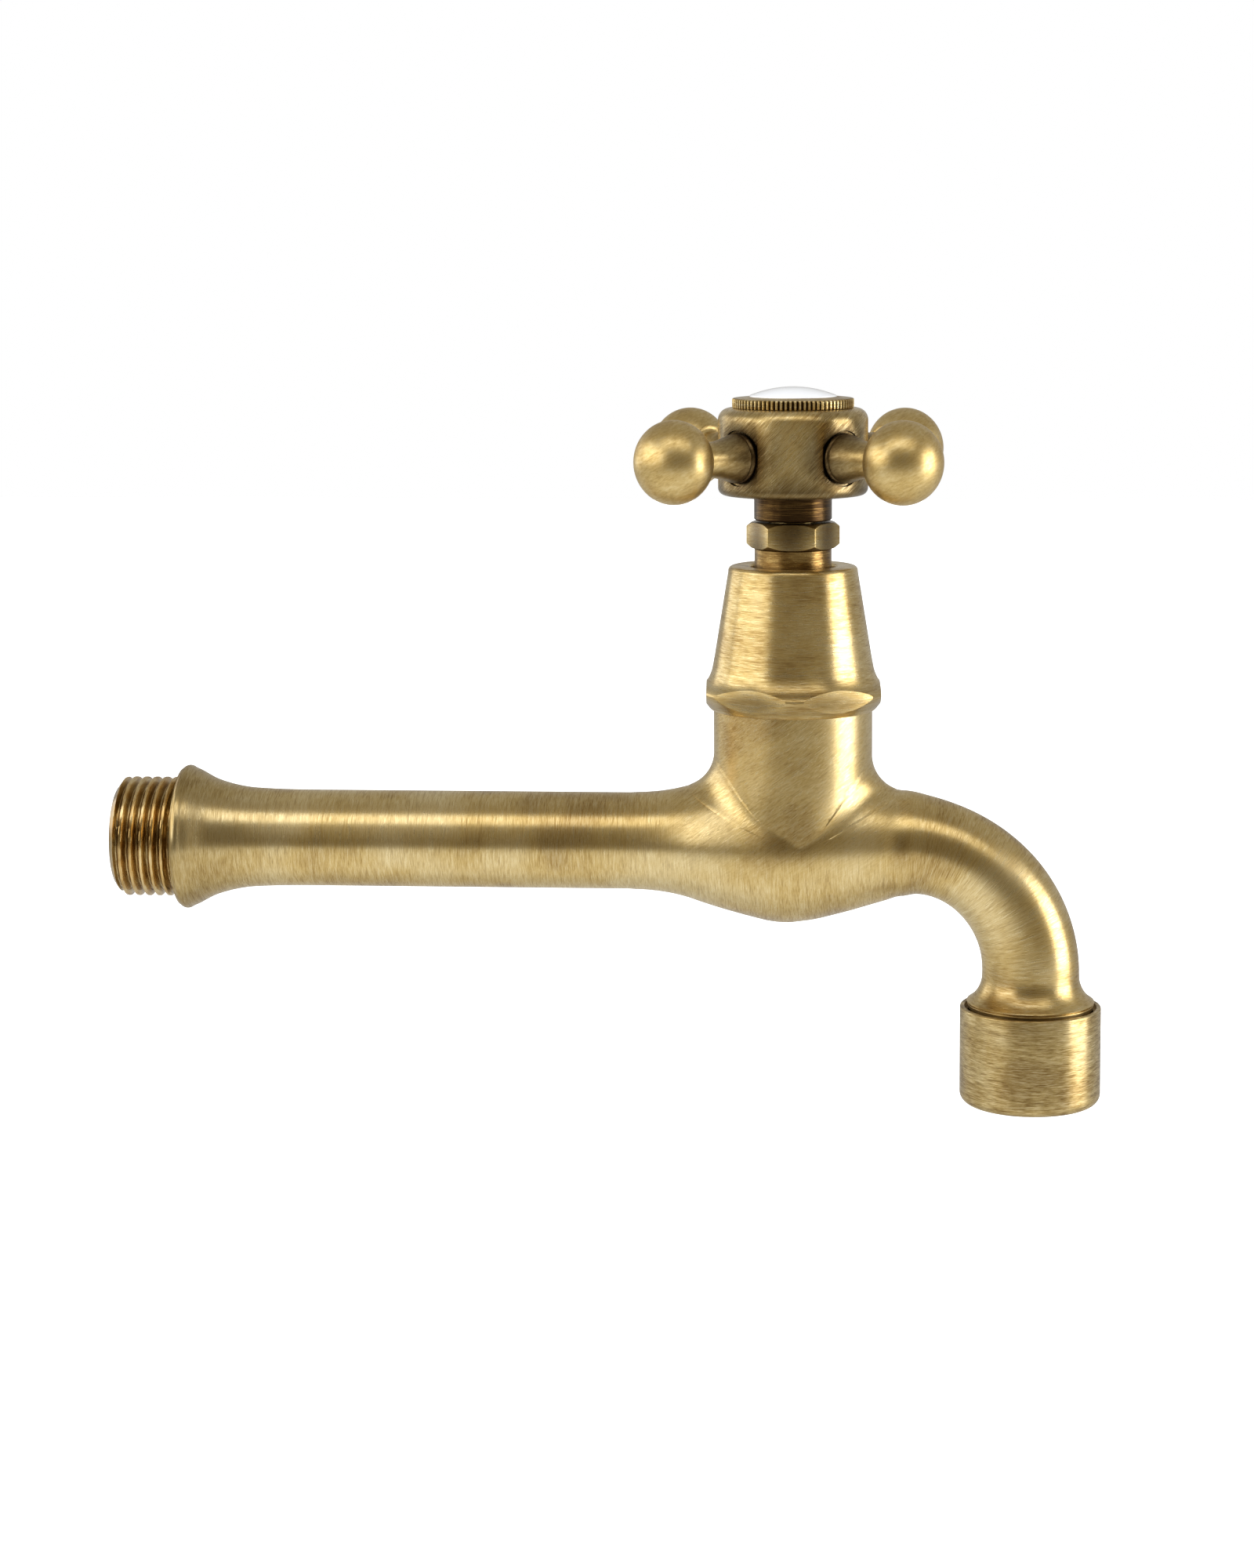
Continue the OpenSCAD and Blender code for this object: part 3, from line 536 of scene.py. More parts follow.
def fillet_ring(s):
    """The rolling-ball fillet between neck and belly, as a closed ring a little sunk into both."""
    around, across = 192, 20
    neck_r, radius = s.neck_r / MM, s.neck_fillet / MM
    start_clean()
    bpy.ops.mesh.primitive_torus_add(location=(VALVE_X * MM, 0, 0.012), major_segments=around,
                                     minor_segments=across, major_radius=0.016, minor_radius=0.002)
    obj = started("neck_fillet")
    leave_edit()
    steps = across - 4
    for i in range(around):
        a = FULL * i / around
        x, y = neck_r * math.cos(a), neck_r * math.sin(a)
        r = belly_radius(x)
        h = math.sqrt(max(0.3, r * r - y * y))
        slope = (belly_radius(x + 0.1) - belly_radius(x - 0.1)) / 0.2
        wall = Vector((math.cos(a), math.sin(a), 0))
        ground = Vector((-slope, y / r, h / r)).normalized()
        cosine = wall.dot(ground)
        foot = Vector((x, y, h))
        ball = foot + radius * (wall + ground) / (1 + cosine)
        turn = math.acos(cosine)
        sunk = 0.06 * (wall + ground)
        row = [foot - 2.5 * (wall + ground), ball - (radius + 1.2) * wall]
        for j in range(steps + 1):
            t = j / steps
            d = (math.sin((1 - t) * turn) * wall + math.sin(t * turn) * ground) / math.sin(turn)
            row.append(ball - radius * d - (sunk if j in (0, steps) else Vector()))
        row.append(ball - (radius + 1.2) * ground)
        for j, p in enumerate(row):
            obj.data.vertices[i * across + j].co = (p + Vector((VALVE_X, 0, 0))) * MM
    edit(obj)
    bpy.ops.mesh.normals_make_consistent(inside=False)
    leave_edit()
    return obj


def waterway(s):
    """Cutters for the inlet, the chambers over and under the seat, and the spout's bore."""
    bend_r, bore_r = s.bend_r / MM, 6.1
    bend_x = OUTLET_X - bend_r
    stations = [(VALVE_X + 13.0 + 1.5 * i, 0.0, 0.0, bore_r) for i in range(4)]
    for i in range(31):
        turn = math.radians(3 * i)
        stations.append((bend_x + bend_r * math.sin(turn), -bend_r + bend_r * math.cos(turn), turn, bore_r))
    stations += [(OUTLET_X, z, math.pi / 2, r) for z, r in
                 ((HOUSING_Z + 13.4, bore_r), (HOUSING_Z + 9.5, 8.6), (HOUSING_Z + 8.5, 8.6))]
    inlet_end = VALVE_X - 12.7
    return [
        turned("inlet_bore", [(0, -1), (INLET_BORE, -1), (INLET_BORE, inlet_end), (0, inlet_end)], along="X",
               steps=96),
        turned("upper_chamber", [(0, 6.3), (6.8, 6.3), (6.8, 5.5), (10.5, 5.5), (10.5, 40), (0, 40)],
               at=VALVE, steps=96),
        turned("seat_bore", [(0, -9), (6.0, -9), (6.0, 2), (5.5, 2), (5.5, 7), (0, 7)], at=VALVE, steps=96),
        drawn("spout_bore", stations, vertices=96)]


def straightened(obj, s):
    """Stores three attributes on the casting's points: where each lies as if the bend were straight, in
    metres, which way the brush went, and how far it counts as part of the neck."""
    bend_r = s.bend_r / MM
    bend_x = OUTLET_X - bend_r
    stored = obj.data.attributes
    for key, kind in (("straight", "FLOAT_VECTOR"), ("brush", "FLOAT_VECTOR"), ("neck", "FLOAT")):
        stored.new(key, kind, "POINT")
    for v, place, across, on_neck in zip(obj.data.vertices, stored["straight"].data, stored["brush"].data,
                                         stored["neck"].data):
        x, y, z = v.co / MM
        turn = 0.0
        if x <= bend_x:
            along, off = x, z
        else:
            turn = math.atan2(x - bend_x, z + bend_r)
            if turn < math.pi / 2:
                along = bend_x + bend_r * turn
                off = math.hypot(x - bend_x, z + bend_r) - bend_r
            else:
                turn = math.pi / 2
                along, off = bend_x + bend_r * math.pi / 2 - (z + bend_r), x - OUTLET_X
        place.vector = (along * MM, y * MM, off * MM)
        near = min(1.0, max(0.0, (24 - abs(x - VALVE_X)) / 6))
        up = near * min(1.0, max(0.0, (z - 4) / 9))
        on_neck.value = near * min(1.0, max(0.0, (z + 6) / 10))
        across.vector = Vector((math.cos(turn) * (1 - up), 0, up - math.sin(turn) * (1 - up))).normalized()


class Step:
    """Shared by every operator."""
    bl_options = {"REGISTER", "UNDO"}


def browned_flare(material, coords, marks):
    """A little brown left on the flange's rim and flare."""
    place = node(material, "ShaderNodeSeparateXYZ", in0=coords)
    return brown_up_to(material, (place, 0), marks, 0.012, 0.006, 0.030, 0.34)


class HOSEBIB_OT_body(Step, bpy.types.Operator):
    """The casting: flange, run, belly, neck and spout"""
    bl_idname = "hosebib.body"
    bl_label = "Tap Body"

    def execute(self, context):
        s = context.scene.hose_bib_sizes
        body = drawn("casting", body_stations(s))
        neck_r, ring_gap, sunk = s.neck_r / MM, 0.6, 0.4
        spigot_r, spigot_top = neck_r - 0.7, BELL_Z + 5.9
        rings = [(neck_r, sunk + ring_gap * i) for i in range(int((BELL_Z - 0.2) / ring_gap))]
        neck = turned("neck", [(0, sunk)] + rings + [
            (neck_r, BELL_Z + 0.5), (spigot_r, BELL_Z + 0.9), (spigot_r, BELL_Z + 5.5),
            (neck_r - 1.1, spigot_top), (0, spigot_top)], at=VALVE, steps=192)
        combined(neck, fillet_ring(s), "UNION")
        combined(body, neck, "UNION")
        body.name = body.data.name = "casting"
        for cutter in waterway(s):
            combined(body, cutter, "DIFFERENCE")
        edit(body)
        tidy_mesh()
        straightened(body, s)
        # Cast brass, brushed along its length and aged brown: long satin streaks with soft, wide highlights,
        # and a browner rim at the wall where the brush didn't reach
        skin = brushed("Brushed cast brass", 0.00013, (1, 14, 14), centre=(0, 0, 0), casting=True,
                       roughness=(0.26, 0.38), spread_out=0.5, wear=0.9, streak=0.55, blotch=0.014,
                       soil_and_shade=browned_flare)
        finished(body, "tap", [skin], replaces=["tap_body"], smooth=40)
        return {"FINISHED"}


def dark_grooves(material, coords, marks):
    """Brown left in the thread's grooves."""
    out, _ = off_axis(material, coords, (0, 0, 0), (0, 1, 1))
    return brown_up_to(material, out, marks, 0.0004, 0.0098, 0.0106, 0.42)


class HOSEBIB_OT_inlet(Step, bpy.types.Operator):
    """The inlet's pipe thread, cut as one right-hand helix"""
    bl_idname = "hosebib.inlet"
    bl_label = "Inlet Thread"

    def execute(self, context):
        s = context.scene.hose_bib_sizes
        crest, depth, pitch, length = (
            v / MM for v in (s.thread_r, s.thread_depth, s.thread_pitch, s.thread_len))
        root, bore, step = crest - depth, INLET_BORE, 0.09
        count = int((length + RELIEF) / step)
        outer = [(crest, -length + (length + RELIEF) * i / count) for i in range(count + 1)]
        profile = [(bore, RELIEF), (bore, -length + 0.5), (bore + 0.5, -length)] + outer + [(bore, RELIEF)]
        piece = turned("inlet_thread", profile, along="X", steps=160)
        # A flank's share of the pitch, the root's flat, and how much of the flank is rounded
        flank, root_flat, rounded = 0.33, 0.17, 0.15
        chamfer_r, chamfer_slope = root - 0.42, 1.35
        run_out_at, run_out_length = 0.1, 1.4
        for v in piece.data.vertices:
            x, y, z = v.co / MM
            r = math.hypot(y, z)
            if r < crest - 0.01:
                continue
            phase = (x / pitch + math.atan2(z, y) / FULL) % 1.0
            up = min(1.0, max(0.0, (0.5 - abs(phase - 0.5)) / flank - root_flat))
            thread = root + depth * (up * up * (3 - 2 * up) * rounded + up * (1 - rounded))
            chamfer = max(chamfer_r, chamfer_r + (x + length) * chamfer_slope)
            run_out = root + depth * min(1.0, max(0.0, (-x - run_out_at) / run_out_length))
            target = min(thread, chamfer, run_out)
            v.co.y *= target / r
            v.co.z *= target / r
        # Freshly cut brass, unbrushed: the yellow metal itself, smooth and glossy, with dirt in the grooves
        skin = brushed("Raw machined brass", 0.00012, (1, 30, 30), tones=("raw", "pale", "patina"),
                       centre=(0, 0, 0), roughness=(0.14, 0.30), wear=0.8, bump=0.08, blotch=0.004,
                       streak=0.4, soil_and_shade=dark_grooves)
        finished(piece, "tap", [skin], smooth=40)
        return {"FINISHED"}


def dull_faces(material, coords, marks):
    """Brown left on the bell's six milled flats, inside their rubbed edges."""
    out, placed = off_axis(material, coords, (VALVE_X * MM, 0, (BELL_Z + 3) * MM))
    parts = node(material, "ShaderNodeSeparateXYZ", in0=placed)
    off = node(material, "ShaderNodeMath", {"operation": "ABSOLUTE"}, in0=(parts, 2))
    lens = node(material, "ShaderNodeMath", {"operation": "MULTIPLY_ADD"}, in0=(off, 0), in1=0.55, in2=out)
    near = brown_up_to(material, (lens, 0), marks, -0.0016, 0.0142, 0.0157, 0.58)
    low = node(material, "ShaderNodeMapRange", in0=(off, 0), in1=0.0016, in2=0.0026, in3=1.0, in4=0.0)
    return (node(material, "ShaderNodeMath", {"operation": "MULTIPLY"}, in0=near, in1=(low, 0)), 0)


class HOSEBIB_OT_bell(Step, bpy.types.Operator):
    """The bell cover, turned and given six wrench flats"""
    bl_idname = "hosebib.bell"
    bl_label = "Bell Cover"

    def execute(self, context):
        s = context.scene.hose_bib_sizes
        z, top = BELL_Z, BELL_TOP
        # Height of the lip under the flange, and the foot and top of the cone
        lip = z + 0.45
        cone_r, cone_top_r, cone_z, cone_rise = 13.86, 11.2, z + 7.9, 16.4
        profile = [(13.9, lip + 1.3), (13.9, lip + 0.15)]
        profile += fair([(14.0, lip), (14.25, lip + 0.08), (14.6, lip + 0.42), (15.0, lip + 0.95),
                         (15.75, lip + 1.85), (16.3, lip + 2.6), (16.5, lip + 3.1), (16.38, lip + 3.55),
                         (15.95, lip + 4.0), (15.45, lip + 4.4), (15.0, lip + 4.85), (14.62, lip + 5.4),
                         (14.34, lip + 6.0), (14.12, lip + 6.6), (13.96, lip + 7.2), (cone_r, lip + 7.7)], 3)
        profile += [(cone_r - (cone_r - cone_top_r) * i / 10, cone_z + cone_rise * i / 10)
                    for i in range(1, 11)]
        profile += arc(cone_top_r - 0.8, top - 0.8, 0.8, 9, 90, 7)
        profile += [(7.75, top), (7.45, top - 0.3), (7.45, top - 1.4), (9.7, top - 1.7), (12.2, z + 8.0),
                    (13.1, z + 7.0), (13.1, z + 1.3), (13.9, z + 1.3)]
        piece = turned("bell", profile, at=VALVE, steps=192)
        flats(piece, VALVE, s.bell_af / MM, math.radians(63.3))
        broken_edges(piece, 0.34, sharp=math.radians(13), segments=3)
        # Turned brass, brushed round its axis: highlights drawn out into upright bands, and milled flats
        # left browner than their rubbed edges
        skin = brushed("Brushed turned brass", 0.00016, (13, 13, 1), soil_and_shade=dull_faces)
        finished(piece, "tap", [skin], replaces=["bell_cover"], smooth=30)
        return {"FINISHED"}


def dull_flats(material, coords, marks):
    """Brown left over the whole nut but its rubbed edges."""
    out, _ = off_axis(material, coords)
    return brown_up_to(material, out, marks, -0.0006, 0.0065, 0.0076, 0.78)


class HOSEBIB_OT_gland(Step, bpy.types.Operator):
    """The gland nut on the bonnet's tube"""
    bl_idname = "hosebib.gland"
    bl_label = "Gland Nut"

    def execute(self, context):
        s = context.scene.hose_bib_sizes
        half = s.nut_af / MM / 2
        z, top = BONNET_TOP, NUT_TOP
        profile = [(4.3, z), (half - 0.1, z), (half + 0.25, z + 0.12), (half + 1.3, z + 0.95),
                   (half + 1.3, top - 0.95), (half + 0.25, top - 0.12), (half - 0.1, top), (4.6, top),
                   (4.3, top - 0.3), (4.3, z)]
        piece = turned("gland", profile, at=VALVE, steps=144)
        flats(piece, VALVE, s.nut_af / MM, math.radians(30))
        broken_edges(piece, 0.26, segments=3)
        # Hexagon brass that the brush hardly reached: dark brown flats, and edges rubbed bright
        skin = brushed("Brushed nut brass", 0.00015, (12, 12, 1), blotch=0.005, soil_and_shade=dull_flats)
        finished(piece, "tap", [skin], replaces=["gland_nut"], smooth=25)
        return {"FINISHED"}


class HOSEBIB_OT_sleeve(Step, bpy.types.Operator):
    """The sleeve that carries the hub, nearly black with painted shade from the hub above it"""
    bl_idname = "hosebib.sleeve"
    bl_label = "Handle Sleeve"

    def execute(self, context):
        s = context.scene.hose_bib_sizes
        r = s.sleeve_r / MM
        low, top = heights("handle_sleeve")
        profile = [(4.15, low + 0.2), (4.35, low), (r - 0.25, low), (r, low + 0.25), (r, HUB_Z - 0.45),
                   (r - 0.22, HUB_Z - 0.4), (r - 0.22, HUB_Z - 0.12), (r, HUB_Z - 0.05), (r, top),
                   (4.15, top), (4.15, low + 0.2)]
        piece = turned("sleeve", profile, at=VALVE, steps=128)
        # Turned brass painted nearly black, as painted shade cast by the hub above it, with fine brown rings
        # in the light
        skin = brushed("Dark turned brass", 0.00018, (30, 30, 1), tones=("dark", "patina", "dark"),
                       blotch=0.006)
        finished(piece, "handle", [skin], replaces=["handle_sleeve"], smooth=30)
        return {"FINISHED"}


def brown_and_shade_round_the_arms(material, coords, marks):
    """Patina with painted shade round the four arms' feet, and darker along the hub's bottom edge, broken up
    by the brush marks.
    """
    arm_up = bpy.context.scene.hose_bib_sizes.arm_up
    placed = node(material, "ShaderNodeMapping", Vector=coords,
                  Location=(-VALVE_X * MM, 0, -(HUB_Z * MM + arm_up)))
    folded = node(material, "ShaderNodeVectorMath", {"operation": "ABSOLUTE"}, in0=(placed, 0))
    arm = HUB_R * MM * math.sqrt(0.5)
    away = node(material, "ShaderNodeVectorMath", {"operation": "DISTANCE"}, in0=(folded, 0),
                in1=(arm, arm, 0))
    # Painted shade where each arm meets the hub, together with patina
    foot = brown_up_to(material, (away, "Value"), marks, 0.004, 0.0074, 0.0125, 0.9)
    parts = node(material, "ShaderNodeSeparateXYZ", in0=(placed, 0))
    # Darker towards the hub's bottom edge
    rim = brown_up_to(material, (parts, 2), marks, 0.003, -0.0035, 0.001, 0.75)
    return (node(material, "ShaderNodeMath", {"operation": "MAXIMUM"}, in0=foot, in1=rim), 0)


class HOSEBIB_OT_hub(Step, bpy.types.Operator):
    """The handle's hub, spot-faced for its four arms"""
    bl_idname = "hosebib.hub"
    bl_label = "Handle Hub"

    def execute(self, context):
        s = context.scene.hose_bib_sizes
        z, top, r = HUB_Z, HUB_TOP, HUB_R
        profile = [(6.85, z + 2.0), (6.85, z + 0.2), (7.05, z)] + arc(r - 1.2, z + 1.2, 1.2, -90, 0, 7)
        profile += [(r, z + 5), (r, z + 9)] + arc(r - 2.0, top - 2.0, 2.0, 0, 90, 10)
        profile += [(9.0, top), (9.0, top - 4.0), (2.2, top - 4.0), (2.2, z + 2.0), (6.85, z + 2.0)]
        piece = turned("hub", profile, at=VALVE, steps=160)
        # A spot face and a threaded hole for each arm: vertices, radius, depth and distance out
        spot_depth, hole_depth = 6, 10
        cuts = (("spot_face", 64, 4.75, spot_depth, r - SPOT_DEPTH + spot_depth / 2),
                ("arm_hole", 48, 2.5, hole_depth, 12))
        middle_at = Vector((VALVE_X, 0, z + s.arm_up / MM))
        for i in range(4):
            a = math.radians(45 + 90 * i)
            for name, vertices, radius, depth, reach in cuts:
                place = middle_at + Vector((math.cos(a), math.sin(a), 0)) * reach
                cut_out(piece, bpy.ops.mesh.primitive_cylinder_add, name, vertices=vertices,
                        radius=radius * MM, depth=depth * MM, location=place * MM,
                        rotation=(0, math.pi / 2, a))
        # The square socket that sits on the spindle
        cut_out(piece, bpy.ops.mesh.primitive_cube_add, "socket", size=MM,
                location=(VALVE_X * MM, 0, (z + 3.9) * MM), scale=(5.8, 5.8, 9.8))
        edit(piece)
        tidy_mesh()
        broken_edges(piece, 0.10, sharp=math.radians(26))
        # Cast brass brushed on a slant: crossing satin streaks, patina with painted shade round the arms'
        # feet, and darker along the bottom edge
        skin = brushed("Brushed hub brass", 0.00015, (12, 12, 1), turn=(0, 0.8, 0),
                       centre=(VALVE_X * MM, 0, HUB_Z * MM), blotch=0.008, soil_and_shade=brown_and_shade_round_the_arms)
        finished(piece, "handle", [skin], replaces=["handle_hub"], smooth=30)
        return {"FINISHED"}


def browned_feet(material, coords, marks):
    """Brown left on the arms, deepest at their feet, and none on the knobs."""
    out, _ = off_axis(material, coords)
    return brown_up_to(material, out, marks, 0.003, 0.0150, 0.0238, 1.0)


class HOSEBIB_OT_arms(Step, bpy.types.Operator):
    """Four turned arms with their knobs"""
    bl_idname = "hosebib.arms"
    bl_label = "Handle Arms"

    def execute(self, context):
        s = context.scene.hose_bib_sizes
        knob_at, knob_r, knob_half = s.knob_at / MM, s.knob_r / MM, s.knob_half / MM
        foot = HUB_R - SPOT_DEPTH + 0.05
        # The flat on the knob's back, round the arm
        back_r = 4.2
        back = knob_at - knob_half * math.sqrt(1 - (back_r / knob_r) ** 2)
        z = HUB_Z + s.arm_up / MM
        profile = [(0, 7.5), (2.1, 7.5), (2.4, 7.8), (2.4, foot), (3.75, foot)]
        profile += arc(3.85, foot + 0.45, 0.45, -90, 60, 6)
        profile += fair([(4.02, foot + 0.9), (4.2, foot + 1.15), (4.12, foot + 1.7), (3.85, foot + 2.6),
                         (3.55, foot + 3.6), (3.28, foot + 4.8), (3.1, foot + 6.0), (3.05, back - 0.7)], 4)
        profile += [(3.1, back - 0.35), (3.3, back - 0.12), (3.7, back - 0.02), (back_r - 0.12, back + 0.02)]
        start, knob_steps = math.asin(back_r / knob_r), 40
        profile += [(knob_r * math.sin(a), knob_at - knob_half * math.cos(a))
                    for a in [start + (math.pi - start) * i / knob_steps for i in range(knob_steps)]]
        profile.append((0, knob_at + knob_half))
        # Turned brass tumbled rather than brushed: broad soft highlights on the knobs, browner arms
        skin = brushed("Satin knob brass", 0.00016, (7, 7, 2), turn=(0, 0.5, 0),
                       centre=(VALVE_X * MM, 0, z * MM), roughness=(0.34, 0.43), wear=0.45, bump=0.12,
                       blotch=0.006, spread_out=0.1, soil_and_shade=browned_feet)
        first = turned("arm_1", profile, at=(VALVE_X, 0, z), along="X", steps=112)
        unspun = first.data.copy()
        to_valve = Matrix.Translation(VALVE_M)
        for i in range(4):
            arm = first
            if i:
                # A copy of the finished first arm also carries that arm's tags
                arm = first.copy()
                arm.data = unspun.copy()
                arm.name = arm.data.name = "arm_%d" % (i + 1)
                bpy.context.scene.collection.objects.link(arm)
            spun = Matrix.Rotation(math.radians(45 + 90 * i), 4, "Z")
            arm.data.transform(to_valve @ spun @ to_valve.inverted())
            finished(arm, "handle", [skin], replaces=["handle_arm_%d" % (i + 1)], smooth=35)
        bpy.data.meshes.remove(unspun)
        return {"FINISHED"}


def dark_flutes(material, coords, marks):
    """Brown left in the flutes of the ring's edge, and none on its top."""
    out, _ = off_axis(material, coords)
    deep = node(material, "ShaderNodeMapRange", in0=out, in1=0.01018, in2=0.01040, in3=0.9, in4=0.0)
    height = node(material, "ShaderNodeSeparateXYZ", in0=coords)
    side = node(material, "ShaderNodeMapRange", in0=(height, 2), in1=(HUB_TOP + 1.56) * MM,
                in2=(HUB_TOP + 1.72) * MM, in3=1.0, in4=0.15)
    return (node(material, "ShaderNodeMath", {"operation": "MULTIPLY"}, in0=(deep, 0), in1=(side, 0)), 0)


class HOSEBIB_OT_index(Step, bpy.types.Operator):
    """The coin-edged ring and its porcelain disc"""
    bl_idname = "hosebib.index"
    bl_label = "Index Ring and Disc"

    def execute(self, context):
        s = context.scene.hose_bib_sizes
        r, disc_r, top = s.ring_r / MM, s.disc_r / MM, HUB_TOP
        profile = [(6.6, top - 2.8), (8.9, top - 2.8), (8.9, top), (r - 0.3, top), (r - 0.05, top + 0.12),
                   (r, top + 0.28), (r, top + 1.50), (r - 0.08, top + 1.62), (r - 0.3, top + 1.70),
                   (r - 0.6, top + 1.74), (disc_r + 0.6, top + 1.92), (disc_r + 0.2, top + 1.98),
                   (disc_r + 0.06, top + 1.9), (disc_r + 0.06, top + 0.65), (6.6, top + 0.65),
                   (6.6, top - 2.8)]
        points_per_flute, flute_depth, flute_half = 6, 0.36, 0.34
        ring = turned("ring", profile, at=VALVE, steps=s.flutes * points_per_flute)
        for v in ring.data.vertices:
            x, y, z = v.co.x / MM - VALVE_X, v.co.y / MM, v.co.z / MM - top
            rad = math.hypot(x, y)
            if rad < r - 0.35 or z < 0.05:
                continue
            phase = (math.atan2(y, x) / FULL * s.flutes) % 1.0
            groove = flute_depth * max(0.0, 1 - abs(phase - 0.5) / flute_half) ** 0.8
            # Shallower where a flute runs out on the top
            if rad < r - 0.2:
                groove *= 0.5
            v.co.x -= x / rad * groove * MM
            v.co.y -= y / rad * groove * MM
        # Brass with a rolled coin edge: a row of bright crests with brown between them
        skin = brushed("Coined brass", 0.00020, (20, 20, 1), blotch=0.004, soil_and_shade=dark_flutes)
        finished(ring, "handle", [skin], replaces=["index_ring"], smooth=25)

        edge, apex = top + 2.15, top + 3.64
        dome = apex - edge
        dome_r = (disc_r ** 2 + dome ** 2) / (2 * dome)
        reach = math.asin((disc_r - 0.25) / dome_r)
        profile = [(0, top + 0.65), (disc_r - 0.1, top + 0.65), (disc_r, top + 0.75), (disc_r, edge - 0.2)]
        profile += arc(disc_r - 0.3, edge - 0.2, 0.3, 0, 60, 4)
        profile += [(dome_r * math.sin(a), apex - dome_r + dome_r * math.cos(a))
                    for a in [reach * (1 - i / 14) for i in range(14)]] + [(0, apex)]
        disc = turned("disc", profile, at=VALVE, steps=128)
        # Glazed porcelain: cool white, with small sharp highlights in the glaze
        glaze = plain("Glazed porcelain", finish("porcelain"), 0.08, speckle=0.003, bump=0.02, tint=0.97,
                      coat=0.6, ior=1.52)
        finished(disc, "handle", [glaze], replaces=["index_disc"], smooth=40)
        return {"FINISHED"}


def brown_streaks(material, coords, marks):
    """Brown left in the deepest brush marks."""
    return (node(material, "ShaderNodeMapRange", in0=marks, in1=0.52, in2=0.92, in3=0.46, in4=0.06), 0)


class HOSEBIB_OT_aerator(Step, bpy.types.Operator):
    """The aerator's housing on the spout's end"""
    bl_idname = "hosebib.aerator"
    bl_label = "Aerator Housing"

    def execute(self, context):
        s = context.scene.hose_bib_sizes
        r, z, top = s.housing_r / MM, HOUSING_Z, HOUSING_TOP
        profile = [(9.8, z + 1.2), (9.8, z + 0.3), (10.1, z)] + arc(r - 1.8, z + 1.8, 1.8, -90, 0, 9)
        profile += [(r, z + 6), (r, top - 5)] + arc(r - 0.3, top - 0.3, 0.3, 0, 90, 4)
        profile += arc(r - 0.65, top - 0.15, 0.15, 90, 180, 3)
        profile += [(r - 0.8, top - 1.0), (11.0, top - 1.0), (11.0, z + 1.2), (9.8, z + 1.2)]
        piece = turned("aerator", profile, at=(OUTLET_X, 0, 0), steps=160)
        # Turned brass, brushed round with a coarser wheel: strong rings of streaks and a duller shine
        skin = brushed("Coarse brushed brass", 0.00016, (12, 12, 1), centre=(OUTLET_X * MM, 0, 0), wear=0.9,
                       bump=0.2, blotch=0.007, streak=0.6, roughness=(0.30, 0.42), soil_and_shade=brown_streaks)
        finished(piece, "tap", [skin], replaces=["aerator_housing"], smooth=30)
        return {"FINISHED"}


class HOSEBIB_OT_inside(Step, bpy.types.Operator):
    """Finishes for the pieces that keep their plain shape"""
    bl_idname = "hosebib.inside"
    bl_label = "Inner Pieces"

    def execute(self, context):
        # Machined brass: bright yellow metal with fine tool rings
        machined = brushed("Machined brass", 0.00020, (24, 24, 1), wear=0.6)
        # Turned brass with its aged brown left on: a brown tube, rubbed yellow in streaks
        browned = brushed("Browned turned brass", 0.00016, (10, 10, 1), tones=("patina", "brass", "dark"),
                          wear=0.8, blotch=0.006)
        # Moulded nitrile rubber: matt black with a soft sheen
        rubber = plain("Nitrile rubber", linear("#1E1D1C"), 0.6, speckle=0.0006)
        # Pressed fibre sheet: dull grey-brown with no shine
        fibre = plain("Fibre gasket", linear("#7A6E5E"), 0.8, speckle=0.0005, bump=0.2)
        # Braided packing with graphite: dark grey, uneven, a little greasy
        packing = plain("Graphited packing", linear("#2B2A28"), 0.55, speckle=0.0005, bump=0.25)
        # Turned steel: pale grey and glossy
        steel = plain("Turned steel", linear("#B9BBBD"), 0.25, metallic=1.0, speckle=0.0004)
        # Moulded white acetal: off-white and waxy
        acetal = plain("White acetal", linear("#DAD9D3"), 0.35, speckle=0.0015)
        for skin, names in (
                (browned, ("bonnet",)),
                (machined, ("gland_follower", "jumper", "washer_nut", "spindle")),
                (fibre, ("bonnet_gasket",)),
                (packing, ("packing_rings",)),
                (rubber, ("seat_washer", "aerator_gasket")),
                (steel, ("handle_screw", "aerator_screens")),
                (acetal, ("aerator_cartridge", "aerator_grid"))):
            for name in names:
                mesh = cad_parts[name].data
                mesh.materials.clear()
                mesh.materials.append(skin)
        return {"FINISHED"}


# ---------------------------------------------------------------------------------------------
# The studio
# ---------------------------------------------------------------------------------------------

def panel_light(name, place, target, width, height, watts):
    """A softbox at place facing target, in metres."""
    data = bpy.data.lights.new(name, "AREA")
    data.shape = "RECTANGLE"
    data.size, data.size_y = width, height
    data.energy = watts
    lamp = bpy.data.objects.new(name, data)
    bpy.context.scene.collection.objects.link(lamp)
    lamp.location = place
    lamp.rotation_euler = (Vector(target) - Vector(place)).to_track_quat("-Z", "Y").to_euler()


